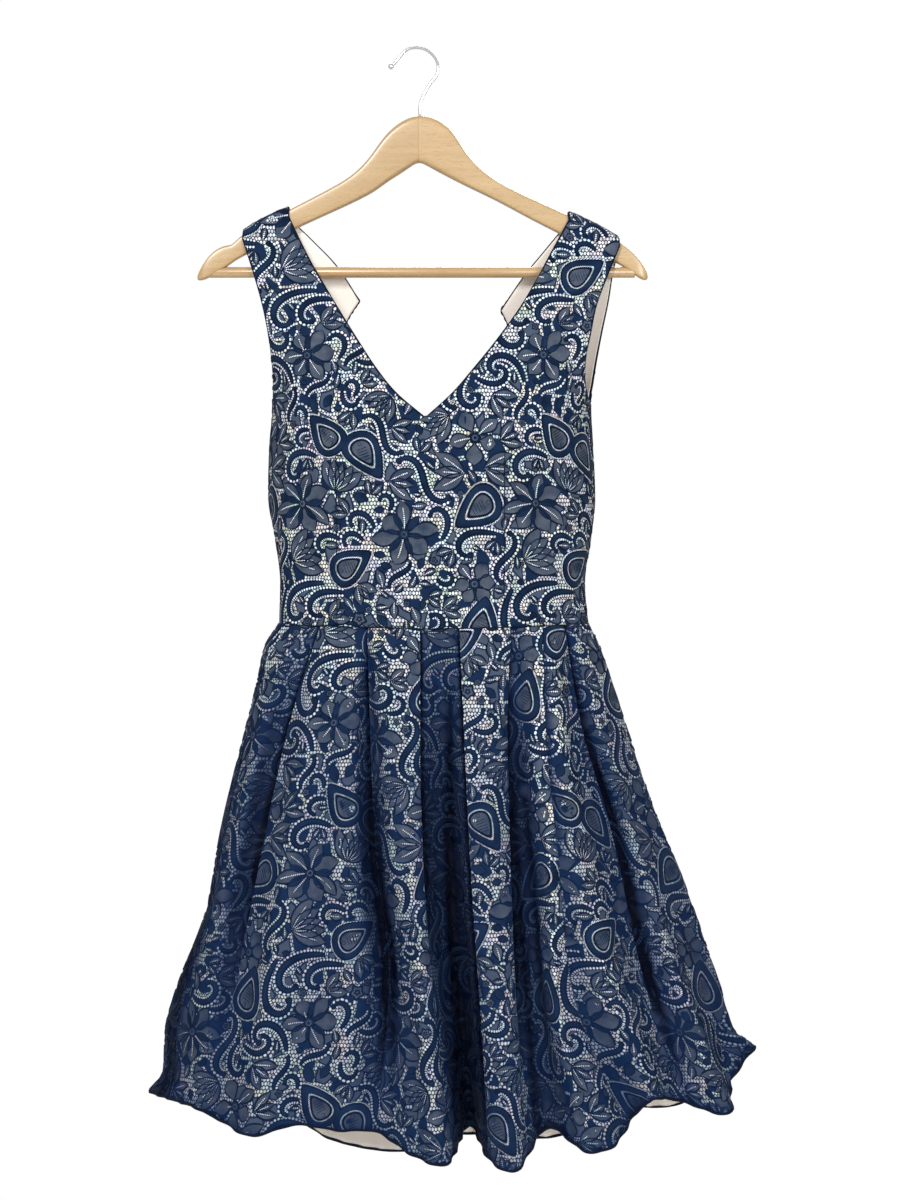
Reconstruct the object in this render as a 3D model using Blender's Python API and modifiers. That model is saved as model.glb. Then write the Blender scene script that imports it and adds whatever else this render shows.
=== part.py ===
"""Cocktail dress of corded lace mounted on a lining, hung on a wooden hanger with a bar and a wire hook.

Every table is in millimetres. The origin is the inside top of the hook, X runs across the dress, the
front faces -Y and Z is up. "Left" is the side at -X. Each cloth panel is a wall whose outer face is
worked out from tables of edges, sections and folds, and which Solidify thickens inwards.
"""

import math

import bmesh
import bpy
import numpy as np

MM = 0.001

LACE_WALL = 1.6
LINING_WALL = 1.0
SEAM_GAP = 0.3
SEAM_EDGE = 0.5  # a side seam's outer edge from the seam line, so that the inner edges are a gap apart
CLOTH_FULLNESS = 2.5  # exponent of a section's roundness: 2 is an ellipse, more is flatter in front

PATH_STEPS = 24
BODICE_COLUMNS = 9
BODICE_TUBE_ROWS = 8
STRAP_ROWS = 9
WRAP_ANGLES = (30, 60, 86)
SKIRT_SHARES = (0, 0.03, 0.09, 0.17, 0.26, 0.36, 0.46, 0.56, 0.66, 0.76, 0.85, 0.92, 0.97, 1)
SKIRT_STEPS = 4


def table(names, *rows):
    """The rows as one array for each named column."""
    return dict(zip(names.split(), np.array(rows, float).T))


def smooth_read(stations, values, at):
    """Reads values between stations on a smooth curve that never overshoots them."""
    slopes = np.diff(values) / np.diff(stations)
    product = slopes[:-1] * slopes[1:]
    total = np.where(product > 0, slopes[:-1] + slopes[1:], 1)
    inner = np.where(product > 0, 2 * product / total, 0)
    tangents = np.concatenate([slopes[:1], inner, slopes[-1:]])
    at = np.clip(at, stations[0], stations[-1])
    span = np.clip(np.searchsorted(stations, at, side="right") - 1, 0, len(stations) - 2)
    width = stations[span + 1] - stations[span]
    f = (at - stations[span]) / width
    rise = values[span + 1] - values[span]
    start = width * tangents[span]
    end = width * tangents[span + 1]
    return values[span] + start * f + (3 * rise - 2 * start - end) * f**2 + (start + end - 2 * rise) * f**3


def catmull(before, start, end, after, f):
    """A point on the curve from start to end that passes smoothly through its neighbours."""
    bend = 2 * before - 5 * start + 4 * end - after
    turn = 3 * start - before - 3 * end + after
    return 0.5 * (2 * start + (end - before) * f + bend * f**2 + turn * f**3)


def smooth_path(points, count):
    """Evenly spaced points on a smooth curve through the given ones."""
    points = np.asarray(points, float)
    ends = np.vstack([2 * points[0] - points[1], points, 2 * points[-1] - points[-2]])
    fine = []
    for four in zip(ends, ends[1:], ends[2:], ends[3:]):
        fine += [catmull(*four, f) for f in np.linspace(0, 1, PATH_STEPS, endpoint=False)]
    fine = np.array(fine + [points[-1]])
    run = np.concatenate([[0], np.cumsum(np.linalg.norm(np.diff(fine, axis=0), axis=1))])
    even = np.linspace(0, run[-1], count)
    return np.column_stack([np.interp(even, run, fine[:, axis]) for axis in range(points.shape[1])])


# ---------------------------------------------------------------- scene, collections, materials

for old in list(bpy.data.objects):
    bpy.data.objects.remove(old, do_unlink=True)

dress = bpy.data.collections.new("Cocktail dress on a hanger")
cutters = bpy.data.collections.new("Cutters")
bpy.context.scene.collection.children.link(dress)
bpy.context.scene.collection.children.link(cutters)


def finish(name, colour, roughness, metallic=0.0):
    material = bpy.data.materials.new(name)
    material.use_nodes = True
    shader = material.node_tree.nodes["Principled BSDF"]
    shader.inputs["Base Color"].default_value = (*colour, 1)
    shader.inputs["Roughness"].default_value = roughness
    shader.inputs["Metallic"].default_value = metallic
    return material


NAVY_LACE = finish("navy corded lace", (0.030, 0.055, 0.105), 0.75)
CHAMPAGNE = finish("champagne lining", (0.74, 0.65, 0.53), 0.55)
ZIP_TAPE = finish("navy zip tape", (0.020, 0.030, 0.060), 0.85)
BEECH = finish("beech", (0.72, 0.49, 0.24), 0.45)
BAR_BEECH = finish("bar beech", (0.64, 0.40, 0.18), 0.35)
CHROME = finish("chrome wire", (0.75, 0.75, 0.76), 0.15, 1.0)
ZIP_METAL = finish("navy lacquered zip metal", (0.030, 0.040, 0.080), 0.35, 0.6)


def add_object(name, data, material, collection=dress):
    piece = bpy.data.objects.new(name, data)
    data.materials.append(material)
    collection.objects.link(piece)
    return piece


def mesh_from(name, work, material):
    data = bpy.data.meshes.new(name)
    work.to_mesh(data)
    work.free()
    data.shade_smooth()
    data.set_sharp_from_angle(angle=math.radians(50))
    return add_object(name, data, material)


def open_surface(grids, outward):
    """Grids of points as one surface, joined where they meet, with its faces towards outward."""
    work = bmesh.new()
    for grid in grids:
        rows = [[work.verts.new(point * MM) for point in row] for row in grid]
        for low, high in zip(rows, rows[1:]):
            for a, b, c, d in zip(low, low[1:], high[1:], high):
                work.faces.new((a, b, c, d))
    bmesh.ops.remove_doubles(work, verts=work.verts, dist=0.02 * MM)
    bmesh.ops.recalc_face_normals(work, faces=work.faces)
    if sum(face.normal.dot(outward) * face.calc_area() for face in work.faces) < 0:
        bmesh.ops.reverse_faces(work, faces=work.faces)
    work.normal_update()
    return work


def sheet(name, grids, outward, wall, material):
    """One cloth panel: grids of its outer points, thickened away from outward."""
    piece = mesh_from(name, open_surface(grids, outward), material)
    thicken = piece.modifiers.new("wall", "SOLIDIFY")
    thicken.thickness = wall * MM
    thicken.offset = -1
    return piece


def moved_in(grid, outward, distance):
    """The points of a grid moved inwards, square to its surface, for what lies behind it."""
    work = open_surface([grid], outward)
    normals = np.array([vertex.normal for vertex in work.verts]).reshape(grid.shape)
    work.free()
    return grid - distance * normals


# ---------------------------------------------------------------- hanger

WOOD_HALF = 6.0
WOOD_ROUND = 5.5
ROUND_ANGLES = (10, 45, 80)
BAR_RADIUS = 5.3
BAR_HEIGHT = -220.2
BAR_ENDS = (-206.0, 214.0)
BORE_SLACK = 0.35
WIRE_RADIUS = 1.6
BALL_RADIUS = 3.0
HOOK_POINTS = 34
BALL_FRACTIONS = (0.10, 0.45, 1.0, 1.55, 1.88)

WOOD = table(
    "x top bottom",
    (-218, -223.5, -228.5),
    (-211, -210, -228),
    (-202, -199, -223.5),
    (-190, -193, -216),
    (-183, -194, -210.5),
    (-176, -184, -206),
    (-156, -174, -196),
    (-127, -158.5, -180),
    (-89, -139, -163),
    (-65, -125.5, -152),
    (-49, -109, -144),
    (-40, -95.5, -138.5),
    (-29, -80.5, -130),
    (-14, -69.5, -121),
    (1, -65.5, -112),
    (15, -67, -118.5),
    (31, -76, -127),
    (41, -91.5, -132),
    (50, -107, -136.5),
    (68, -124, -145),
    (85, -135, -153.5),
    (115, -149, -170),
    (148, -163.5, -186.5),
    (180, -179.5, -203),
    (203, -192, -214.5),
    (213, -201, -222),
    (221, -211, -228),
    (227, -222, -228),
)

HOOK = table(
    "x height",
    (2, -65.1),
    (2, -57),
    (5, -46.5),
    (12, -34),
    (18.3, -26),
    (20, -17),
    (17, -8.5),
    (9.5, -1.2),
    (0, 1.6),
    (-9, 0.4),
    (-16, -5.2),
    (-22, -12.5),
    (-28.5, -19),
)


def wood_top(x):
    return np.interp(x, WOOD["x"], WOOD["top"])


def wood_section(x, top, bottom):
    """The arm's upright section: 12 mm thick with rounded edges."""
    radius = min(WOOD_ROUND, 0.49 * (top - bottom))
    corners = ((1, top - radius, 0), (-1, top - radius, 90), (-1, bottom + radius, 180), (1, bottom + radius, 270))
    section = []
    for side, height, turn in corners:
        for angle in ROUND_ANGLES:
            a = math.radians(turn + angle)
            section.append((x, side * (WOOD_HALF - radius) + radius * math.cos(a), height + radius * math.sin(a)))
    return section


def hanger_arms():
    work = bmesh.new()
    sections = []
    for x, top, bottom in zip(WOOD["x"], WOOD["top"], WOOD["bottom"]):
        sections.append([work.verts.new(np.array(point) * MM) for point in wood_section(x, top, bottom)])
    for one, two in zip(sections, sections[1:]):
        for a, b, c, d in zip(one, one[1:] + one[:1], two[1:] + two[:1], two):
            work.faces.new((a, b, c, d))
    work.faces.new(sections[0])
    work.faces.new(sections[-1])
    bmesh.ops.recalc_face_normals(work, faces=work.faces)
    return mesh_from("hanger_arms", work, BEECH)


def rod(name, radius, ends, material, collection=dress):
    bpy.ops.mesh.primitive_cylinder_add(
        vertices=16,
        radius=radius * MM,
        depth=(ends[1] - ends[0]) * MM,
        location=((ends[0] + ends[1]) / 2 * MM, 0, BAR_HEIGHT * MM),
        rotation=(0, math.radians(90), 0),
    )
    piece = bpy.context.active_object
    piece.name = name
    piece.data.name = name
    piece.data.materials.append(material)
    for old in list(piece.users_collection):
        old.objects.unlink(piece)
    collection.objects.link(piece)
    piece.data.shade_smooth()
    piece.data.set_sharp_from_angle(angle=math.radians(50))
    return piece


def hanger_hook():
    route = smooth_path(np.column_stack([HOOK["x"], HOOK["height"]]), HOOK_POINTS)
    run = np.concatenate([[0], np.cumsum(np.linalg.norm(np.diff(route, axis=0), axis=1))])
    neck = run[-1] - 2 * BALL_RADIUS
    stations = [(distance, WIRE_RADIUS) for distance in run if distance < neck]
    for fraction in BALL_FRACTIONS:
        bulge = BALL_RADIUS * math.sqrt(1 - (1 - fraction) ** 2)
        stations.append((neck + fraction * BALL_RADIUS, max(bulge, WIRE_RADIUS if fraction < 1 else 0)))
    curve = bpy.data.curves.new("hanger_hook", "CURVE")
    curve.dimensions = "3D"
    curve.bevel_depth = WIRE_RADIUS * MM
    curve.bevel_resolution = 2
    curve.use_fill_caps = True
    spline = curve.splines.new("POLY")
    spline.points.add(len(stations) - 1)
    for point, (distance, radius) in zip(spline.points, stations):
        x = np.interp(distance, run, route[:, 0])
        height = np.interp(distance, run, route[:, 1])
        point.co = (x * MM, 0, height * MM, 1)
        point.radius = radius / WIRE_RADIUS
    return add_object("hanger_hook", curve, CHROME)


arms = hanger_arms()
rod("hanger_bar", BAR_RADIUS, BAR_ENDS, BAR_BEECH)
bore = rod("bar_bore", BAR_RADIUS + BORE_SLACK, (BAR_ENDS[0] - SEAM_GAP, BAR_ENDS[1] + SEAM_GAP), BEECH, cutters)
bore.hide_render = True
bore.display_type = "WIRE"
cut = arms.modifiers.new("bar bore", "BOOLEAN")
cut.operation = "DIFFERENCE"
cut.solver = "EXACT"
cut.object = bore
hanger_hook()


# ---------------------------------------------------------------- bodice

WAIST_MIDDLE = -571.0
WAIST_RISE = 5.0  # the waist seam climbs towards the side seams
SHOULDER_EDGE = 0.7
UNDERARM = -352.0
UNDERARM_EDGE = 1.8  # the seam opens a little where the armhole starts
CENTRE_WAIST = 16.0  # the x of the centre line at the waist seam
KEYHOLE_POINT = 6.0  # and where the keyhole ends, on the back
STRAP_OUT = 9.5  # outer face of a strap from the hanger's middle plane
STRAP_PROUD = 3.5  # outer face of a strap above the wood
CLEAR_FROM, CLEAR_FULL = -345.0, -290.0  # heights between which the cloth leaves room for the hanger

# Half-girths of the body of the dress: how far it reaches to each side, forwards and backwards.
# Above the underarm the sides are where the side seams would run on, past the armholes.
BODY = table(
    "height left right front back",
    (-572, -136, 168, 58, 38),
    (-525, -135, 164, 63, 41),
    (-485, -140, 170, 70, 44),
    (-440, -147, 174, 78, 47),
    (-395, -146, 172, 84, 47),
    (-352, -143, 170, 80, 45),
    (-300, -152, 182, 62, 37),
    (-255, -168, 198, 38, 25),
    (-215, -185, 214, 18, 13),
    (-165, -195, 222, 2, 2),
)

# Soft cups that the bust darts shape.
BUST = table("x height wide tall out", (-78, -408, 36, 46, 11), (84, -408, 36, 46, 11))

FRONT_NECK = table(
    "left_x left_height right_x right_height",
    (8, -369, 8, -369),
    (-20, -345, 34, -345),
    (-40, -320, 55, -320),
    (-58, -292, 77, -292),
    (-78, -259, 100, -259),
    (-95, -230, 117, -230),
    (-109, -205, 130, -205),
    (-128, -166, 149, -170),
)
FRONT_ARMHOLE = table(
    "left_x left_height right_x right_height",
    (-143, -352, 170, -352),
    (-142, -330, 164, -334),
    (-143, -308, 164, -308),
    (-146, -283, 169, -283),
    (-152, -254, 175, -254),
    (-161, -222, 187, -222),
    (-172, -188, 198, -195),
)
KEYHOLE = table(
    "left_x left_height right_x right_height",
    (5, -388, 7, -388),
    (-14, -375, 26, -377),
    (-40, -352, 58, -354),
    (-66, -320, 88, -322),
    (-76, -291, 96, -293),
    (-72, -267, 91, -272),
    (-59, -246, 83, -255),
)
NAPE = table(
    "left_x left_height right_x right_height",
    (-59, -246, 83, -255),
    (-80, -214, 105, -223),
    (-104, -189, 124, -200),
    (-128, -166, 149, -170),
)
BACK_ARMHOLE = table(
    "left_x left_height right_x right_height",
    (-143, -352, 170, -352),
    (-142, -330, 173, -330),
    (-142, -305, 177, -305),
    (-145, -278, 182, -278),
    (-151, -250, 188, -248),
    (-164, -214, 192, -222),
    (-172, -188, 198, -195),
)


def lens(sideways):
    """How deep a section is at a share of its half-width, from 1 in the middle to 0 at the side seam."""
    return np.sqrt(np.clip(1 - np.abs(sideways) ** CLOTH_FULLNESS, 0, 1))


def body_sides(height):
    left = smooth_read(BODY["height"], BODY["left"], height)
    right = smooth_read(BODY["height"], BODY["right"], height)
    return (left + right) / 2, (right - left) / 2


def body_depth(x, height, face):
    """Distance of the cloth from the hanger's middle plane, on the front or back face."""
    middle, half = body_sides(height)
    depth = smooth_read(BODY["height"], BODY[face], height) * lens((x - middle) / half)
    if face == "front":
        for cup in zip(*BUST.values()):
            out = cup[4] * np.exp(-(((x - cup[0]) / cup[2]) ** 2) - ((height - cup[1]) / cup[3]) ** 2)
            depth = depth + out * lens((x - middle) / half)
    share = np.clip((height - CLEAR_FROM) / (CLEAR_FULL - CLEAR_FROM), 0, 1)
    clear = STRAP_OUT * share * share * (3 - 2 * share)
    return np.hypot(depth, clear)


def waist_height(turn):
    """Height of the waist seam; turn is -1 at the left seam, 0 in the middle and 1 at the right seam."""
    return WAIST_MIDDLE + WAIST_RISE * turn**2


def body_row(inner, outer, face):
    """One row of outer points from an inner edge point to an outer one, evenly round the section."""
    ends = []
    for x, height in (inner, outer):
        middle, half = body_sides(height)
        ends.append((math.asin(np.clip((x - middle) / half, -1, 1)), height))
    shares = np.linspace(0, 1, BODICE_COLUMNS + 1)
    angles = ends[0][0] + (ends[1][0] - ends[0][0]) * shares
    heights = ends[0][1] + (ends[1][1] - ends[0][1]) * shares
    middle, half = body_sides(heights)
    x = middle + half * np.sin(angles)
    facing = -1 if face == "front" else 1
    return np.column_stack([x, facing * body_depth(x, heights, face), heights])


def strap_wrap(last, facing):
    """The rows that carry a strap over the rounded top of the hanger to the shoulder seam."""
    rows = []
    for degrees in WRAP_ANGLES:
        a = math.radians(degrees)
        row = last.copy()
        row[:, 1] = facing * np.maximum(np.abs(last[:, 1]) * math.cos(a), SHOULDER_EDGE)
        row[:, 2] = last[:, 2] + STRAP_OUT * math.sin(a)
        rows.append(row)
    return rows


def edge(points, side):
    return np.column_stack([points[side + "_x"], points[side + "_height"]])


def half_bodice(side, face, centre_gap=0.0):
    """The outer points of one half of the bodice, from the centre line out and from the waist up."""
    sign = -1 if side == "left" else 1
    if face == "front":
        inner_strap = smooth_path(edge(FRONT_NECK, side), STRAP_ROWS + 1)
        outer_strap = smooth_path(edge(FRONT_ARMHOLE, side), STRAP_ROWS + 1)
    else:
        below = smooth_path(edge(KEYHOLE, side), STRAP_ROWS - 2)
        above = smooth_path(edge(NAPE, side), 4)
        inner_strap = np.vstack([below, above[1:]])
        outer_strap = smooth_path(edge(BACK_ARMHOLE, side), len(inner_strap))
    for strap in (inner_strap, outer_strap):
        strap[-1, 1] = wood_top(strap[-1, 0]) + STRAP_PROUD - STRAP_OUT
    tip = inner_strap[0]
    rows = []
    for share in np.linspace(0, 1, BODICE_TUBE_ROWS + 1)[:-1]:
        height = WAIST_MIDDLE + (tip[1] - WAIST_MIDDLE) * share
        inner = (CENTRE_WAIST + (tip[0] - CENTRE_WAIST) * share + sign * centre_gap, height)
        low = waist_height(1) + (UNDERARM - waist_height(1)) * share
        middle, half = body_sides(low)
        rows.append(body_row(inner, (middle + sign * half, low), face))
    for inner, outer in zip(inner_strap, outer_strap):
        rows.append(body_row(inner, outer, face))
    facing = -1 if face == "front" else 1
    rows += strap_wrap(rows[-1], facing)
    grid = np.array(rows)
    seam = np.abs(grid[:, -1, 1]) < SEAM_EDGE
    grid[seam, -1, 1] = facing * SEAM_EDGE
    grid[BODICE_TUBE_ROWS, -1, 1] = facing * UNDERARM_EDGE
    return grid


BACKWARD = (0, 1, 0)
FORWARD = (0, -1, 0)

front_halves = [half_bodice("left", "front"), half_bodice("right", "front")]
sheet("bodice_front", front_halves, FORWARD, LACE_WALL, NAVY_LACE)

LINING_IN = LACE_WALL + SEAM_GAP
for side in ("left", "right"):
    back = half_bodice(side, "back", centre_gap=SEAM_GAP / 2)
    sheet("bodice_back_" + side, [back], BACKWARD, LACE_WALL, NAVY_LACE)
    lining = moved_in(back, BACKWARD, LINING_IN)
    sheet("bodice_lining_" + side, [lining[:-1]], BACKWARD, LINING_WALL, CHAMPAGNE)


# ---------------------------------------------------------------- skirt

SEAM_DROP = 0.6  # the skirt starts this far under the bodice
SKIRT_EDGE = 1.1  # a panel's outer edge from its seam line, as the side folds are sharp
STATIONS = np.array([0, 0.2, 0.45, 0.7, 1.0])
LINING_FROM_ROW = 9  # the lining is its own wall from this row to the hem

# The skirt's smooth oval at shares of the way from waist to hem.
OVAL = table(
    "share left right front back",
    (0, -137, 168, 57, 38),
    (0.05, -151, 178, 61, 41),
    (0.12, -158, 188, 66, 43),
    (0.2, -167, 199, 70, 45),
    (0.45, -195, 234, 84, 50),
    (0.6, -207, 260, 91, 53),
    (0.8, -241, 289, 99, 56),
    (0.87, -249, 299, 101, 57),
    (0.96, -251, 310, 104, 58),
    (1.0, -265, 332, 105, 58),
)

# The pleats, which open into folds: the x of each ridge or valley and how far it stands out of the
# oval, at each of STATIONS, and the height of the hem there. They run from the left side seam across
# the front to the right one, and then back across the back.
FRONT_FOLDS = {
    "a ridge": ((-122, -150, -176, -200, -216), (0, 2, 4, 5, 6), -1031),
    "1 valley": ((-94, -124, -150, -172, -190), (-2, -9, -7, -3, -2), -1043),
    "b ridge": ((-84, -106, -126, -142, -158), (3, 4, 6, 9, 12), -1054),
    "b hollow": ((-66, -80, -92, -104, -116), (2, 3, 3, 2, 0), -1044),
    "b edge": ((-54, -60, -62, -58, -74), (1, 4, 7, 8, 4), -1048),
    "2 valley": ((-47, -45, -40, -27, -38), (-2, -12, -15, -11, -3), -1050),
    "c left": ((-38, -30, -22, -8, -3), (3, 5, 9, 13, 16), -1069),
    "c right": ((-2, -2, 2, 12, 29), (3, 7, 12, 17, 25), -1075),
    "3 valley": ((20, 25, 31, 40, 50), (-3, -14, -22, -30, -36), -1049),
    "d left": ((41, 46, 52, 60, 69), (3, 8, 12, 12, 9), -1074),
    "d right": ((83, 78, 80, 84, 95), (3, 7, 12, 18, 26), -1081),
    "4 valley": ((93, 96, 105, 114, 125), (-2, -9, -12, -12, -18), -1049),
    "e left": ((112, 113, 124, 132, 160), (2, 4, 8, 11, 16), -1066),
    "e right": ((118, 120, 131, 142, 188), (2, 5, 9, 7, 11), -1062),
    "6 valley": ((123, 127, 139, 152, 207), (2, 6, 9, 3, -12), -1040),
    "f ridge": ((132, 138, 156, 180, 227), (3, 7, 10, 12, 3), -1021),
    "5 valley": ((141, 157, 190, 214, 253), (-3, -10, -15, -15, -14), -1026),
    "g ridge": ((152, 176, 212, 248, 300), (1, 4, 8, 11, 15), -1038),
    "side valley": ((163, 190, 225, 262, 307), (0, 0, -2, -6, -18), -1011),
}
BACK_FOLDS = {
    "h ridge": ((150, 178, 214, 250, 288), (1, 4, 8, 12, 14), -1034),
    "7 valley": ((128, 150, 178, 210, 250), (-2, -8, -12, -14, -16), -1046),
    "i ridge": ((104, 122, 142, 168, 202), (3, 6, 10, 14, 20), -1056),
    "8 valley": ((80, 92, 106, 122, 142), (-3, -9, -14, -18, -24), -1076),
    "j ridge": ((52, 58, 66, 76, 90), (3, 6, 10, 14, 20), -1086),
    "centre back": ((16, 20, 25, 31, 38), (-1, -4, -6, -8, -10), -1078),
    "k ridge": ((-20, -20, -20, -20, -18), (3, 7, 11, 15, 20), -1100),
    "9 valley": ((-48, -56, -64, -74, -86), (-3, -9, -14, -18, -24), -1080),
    "l ridge": ((-74, -90, -106, -122, -138), (3, 5, 9, 13, 18), -1054),
    "10 valley": ((-98, -120, -142, -164, -186), (-2, -7, -10, -12, -14), -1044),
    "m ridge": ((-120, -148, -174, -200, -228), (1, 4, 8, 12, 12), -1036),
}
LEFT_HEM, RIGHT_HEM = -1027, -983


def skirt_ring(share):
    """The fold points round the skirt at a share of the way down, as (x, y, height) rows."""
    oval = {key: smooth_read(OVAL["share"], OVAL[key], share) for key in ("left", "right", "front", "back")}
    middle = (oval["left"] + oval["right"]) / 2
    half = (oval["right"] - oval["left"]) / 2

    def on_fold(fold, facing, depth):
        x = smooth_read(STATIONS, np.array(fold[0], float), share)
        out = smooth_read(STATIONS, np.array(fold[1], float), share)
        turn = (x - middle) / half
        top = waist_height(turn) - SEAM_DROP
        return (x, facing * (depth * lens(turn) + out), top + (fold[2] - top) * share)

    def on_side(x, hem):
        top = waist_height(1) - SEAM_DROP
        return (x, 0, top + (hem - top) * share)

    ring = [on_side(oval["left"], LEFT_HEM)]
    ring += [on_fold(fold, -1, oval["front"]) for fold in FRONT_FOLDS.values()]
    ring += [on_side(oval["right"], RIGHT_HEM)]
    ring += [on_fold(fold, 1, oval["back"]) for fold in BACK_FOLDS.values()]
    return np.array(ring)


def ring_point(ring, place):
    """A point on the closed curve through the ring; whole numbers of place are the fold points."""
    first = int(math.floor(place))
    four = [ring[(first + step) % len(ring)] for step in (-1, 0, 1, 2)]
    return catmull(*four, place - first)


def skirt_panel(start, end):
    """The outer points of a panel between two places on the ring, set in by half a seam gap."""
    places = np.linspace(start, end, int(round((end - start) * SKIRT_STEPS)) + 1)
    rows = []
    for share in SKIRT_SHARES:
        ring = skirt_ring(share)
        row = np.array([ring_point(ring, place) for place in places])
        for end_point, neighbour in ((0, 1), (-1, -2)):
            along = row[neighbour] - row[end_point]
            row[end_point] += along / np.linalg.norm(along) * SKIRT_EDGE
        rows.append(row)
    return np.array(rows)


RIGHT_PLACE = len(FRONT_FOLDS) + 1
CENTRE_BACK_PLACE = RIGHT_PLACE + 1 + list(BACK_FOLDS).index("centre back")
END_PLACE = RIGHT_PLACE + 1 + len(BACK_FOLDS)

sheet("skirt_front", [skirt_panel(0, RIGHT_PLACE)], FORWARD, LACE_WALL, NAVY_LACE)
for side, start, end in (("right", RIGHT_PLACE, CENTRE_BACK_PLACE), ("left", CENTRE_BACK_PLACE, END_PLACE)):
    panel = skirt_panel(start, end)
    sheet("skirt_back_" + side, [panel], BACKWARD, LACE_WALL, NAVY_LACE)
    band = moved_in(panel, BACKWARD, LINING_IN)[LINING_FROM_ROW:, 1:-1]
    sheet("skirt_lining_" + side, [band], BACKWARD, LINING_WALL, CHAMPAGNE)


# ---------------------------------------------------------------- concealed zip

ZIP_TAPE_IN = LACE_WALL + LINING_WALL + 2.4 * SEAM_GAP
ZIP_TAPE_HALF = 11.0
ZIP_TAPE_WALL = 1.0
ZIP_TOP = -391.0
ZIP_BODICE_ROWS = 7
ZIP_SKIRT_SHARES = (0.02, 0.09, 0.17, 0.26, 0.34)
ZIP_TAPE_PLACE = 0.28  # the tape's half-width in the skirt, as a share of the way to the next fold

SLIDER_HEIGHT = -398.0
SLIDER_SIZE = (4.8, 2.4, 8.5)
SLIDER_BEVEL = 0.6
BAIL_HALF_WIDTH = 0.65
PULL_THICKNESS = 1.0
PULL_AXIS_OUT = 0.92  # the pull's turning axis from the slider's face
PULL_AXIS_DROP = 1.2  # and below the slider's middle

BAIL_OUTLINE = (
    (-0.3, -3.8),
    (2.5, -3.8),
    (3.3, -3.1),
    (3.3, 3.1),
    (2.5, 3.8),
    (-0.3, 3.8),
    (-0.3, 2.6),
    (1.8, 2.6),
    (2.1, 2.2),
    (2.1, -2.2),
    (1.8, -2.6),
    (-0.3, -2.6),
)
PULL_HALF_OUTLINE = ((1.6, 0.5), (2.3, -0.1), (2.3, -6.0), (1.7, -7.5), (2.2, -12), (2.6, -14.5), (1.9, -16.6))
PULL_TIP = (0, -17.2)
PULL_EYE = ((1.15, -0.5), (1.15, -5.8), (-1.15, -5.8), (-1.15, -0.5))


def centre_back(height):
    """The x of the bodice's centre back seam at a height."""
    share = (height - WAIST_MIDDLE) / (KEYHOLE["left_height"][0] - WAIST_MIDDLE)
    return CENTRE_WAIST + (KEYHOLE_POINT - CENTRE_WAIST) * share


def zip_tape():
    rows = []
    for height in np.linspace(ZIP_TOP, WAIST_MIDDLE, ZIP_BODICE_ROWS):
        x = centre_back(height) + np.array([ZIP_TAPE_HALF, 0, -ZIP_TAPE_HALF])
        rows.append(np.column_stack([x, body_depth(x, height, "back"), np.full(3, height)]))
    for share in ZIP_SKIRT_SHARES:
        ring = skirt_ring(share)
        places = (CENTRE_BACK_PLACE - ZIP_TAPE_PLACE, CENTRE_BACK_PLACE, CENTRE_BACK_PLACE + ZIP_TAPE_PLACE)
        rows.append([ring_point(ring, place) for place in places])
    grid = moved_in(np.array(rows), BACKWARD, ZIP_TAPE_IN)
    sheet("zip_tape", [grid], BACKWARD, ZIP_TAPE_WALL, ZIP_TAPE)


zip_tape()


def plate(name, outlines, half_thickness):
    """A flat shape of the outlines' (x, y) points, centred on its own plane, as one closed mesh."""
    curve = bpy.data.curves.new(name, "CURVE")
    curve.dimensions = "2D"
    curve.fill_mode = "BOTH"
    curve.extrude = half_thickness * MM
    for outline in outlines:
        spline = curve.splines.new("POLY")
        spline.points.add(len(outline) - 1)
        spline.use_cyclic_u = True
        for point, (x, y) in zip(spline.points, outline):
            point.co = (x * MM, y * MM, 0, 1)
    flat = bpy.data.objects.new(name, curve)
    dress.objects.link(flat)
    bpy.context.view_layer.update()
    data = bpy.data.meshes.new_from_object(flat.evaluated_get(bpy.context.evaluated_depsgraph_get()))
    bpy.data.objects.remove(flat, do_unlink=True)
    work = bmesh.new()
    work.from_mesh(data)
    bmesh.ops.remove_doubles(work, verts=work.verts, dist=0.001 * MM)
    bmesh.ops.recalc_face_normals(work, faces=work.faces)
    work.to_mesh(data)
    work.free()
    data.name = name
    return data


slider_x = centre_back(SLIDER_HEIGHT)
slider_face = float(body_depth(np.array([slider_x]), np.array([SLIDER_HEIGHT]), "back")[0])
slider_face += SEAM_GAP + SLIDER_SIZE[1]

work = bmesh.new()
bmesh.ops.create_cube(work, size=1)
bmesh.ops.scale(work, verts=work.verts, vec=[size * MM for size in SLIDER_SIZE])
slider = mesh_from("zip_slider", work, ZIP_METAL)
slider.location = (slider_x * MM, (slider_face - SLIDER_SIZE[1] / 2) * MM, SLIDER_HEIGHT * MM)
rounded = slider.modifiers.new("rounded edges", "BEVEL")
rounded.width = SLIDER_BEVEL * MM
rounded.segments = 2

bail_mesh = plate("zip_bail", [BAIL_OUTLINE], BAIL_HALF_WIDTH)
bail = add_object("zip_bail", bail_mesh, ZIP_METAL, cutters)
bail.location = (slider_x * MM, slider_face * MM, SLIDER_HEIGHT * MM)
bail.rotation_euler = (math.radians(90), 0, math.radians(90))
bail.hide_render = True
bail.display_type = "WIRE"
joined = slider.modifiers.new("bail", "BOOLEAN")
joined.operation = "UNION"
joined.solver = "EXACT"
joined.object = bail

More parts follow.
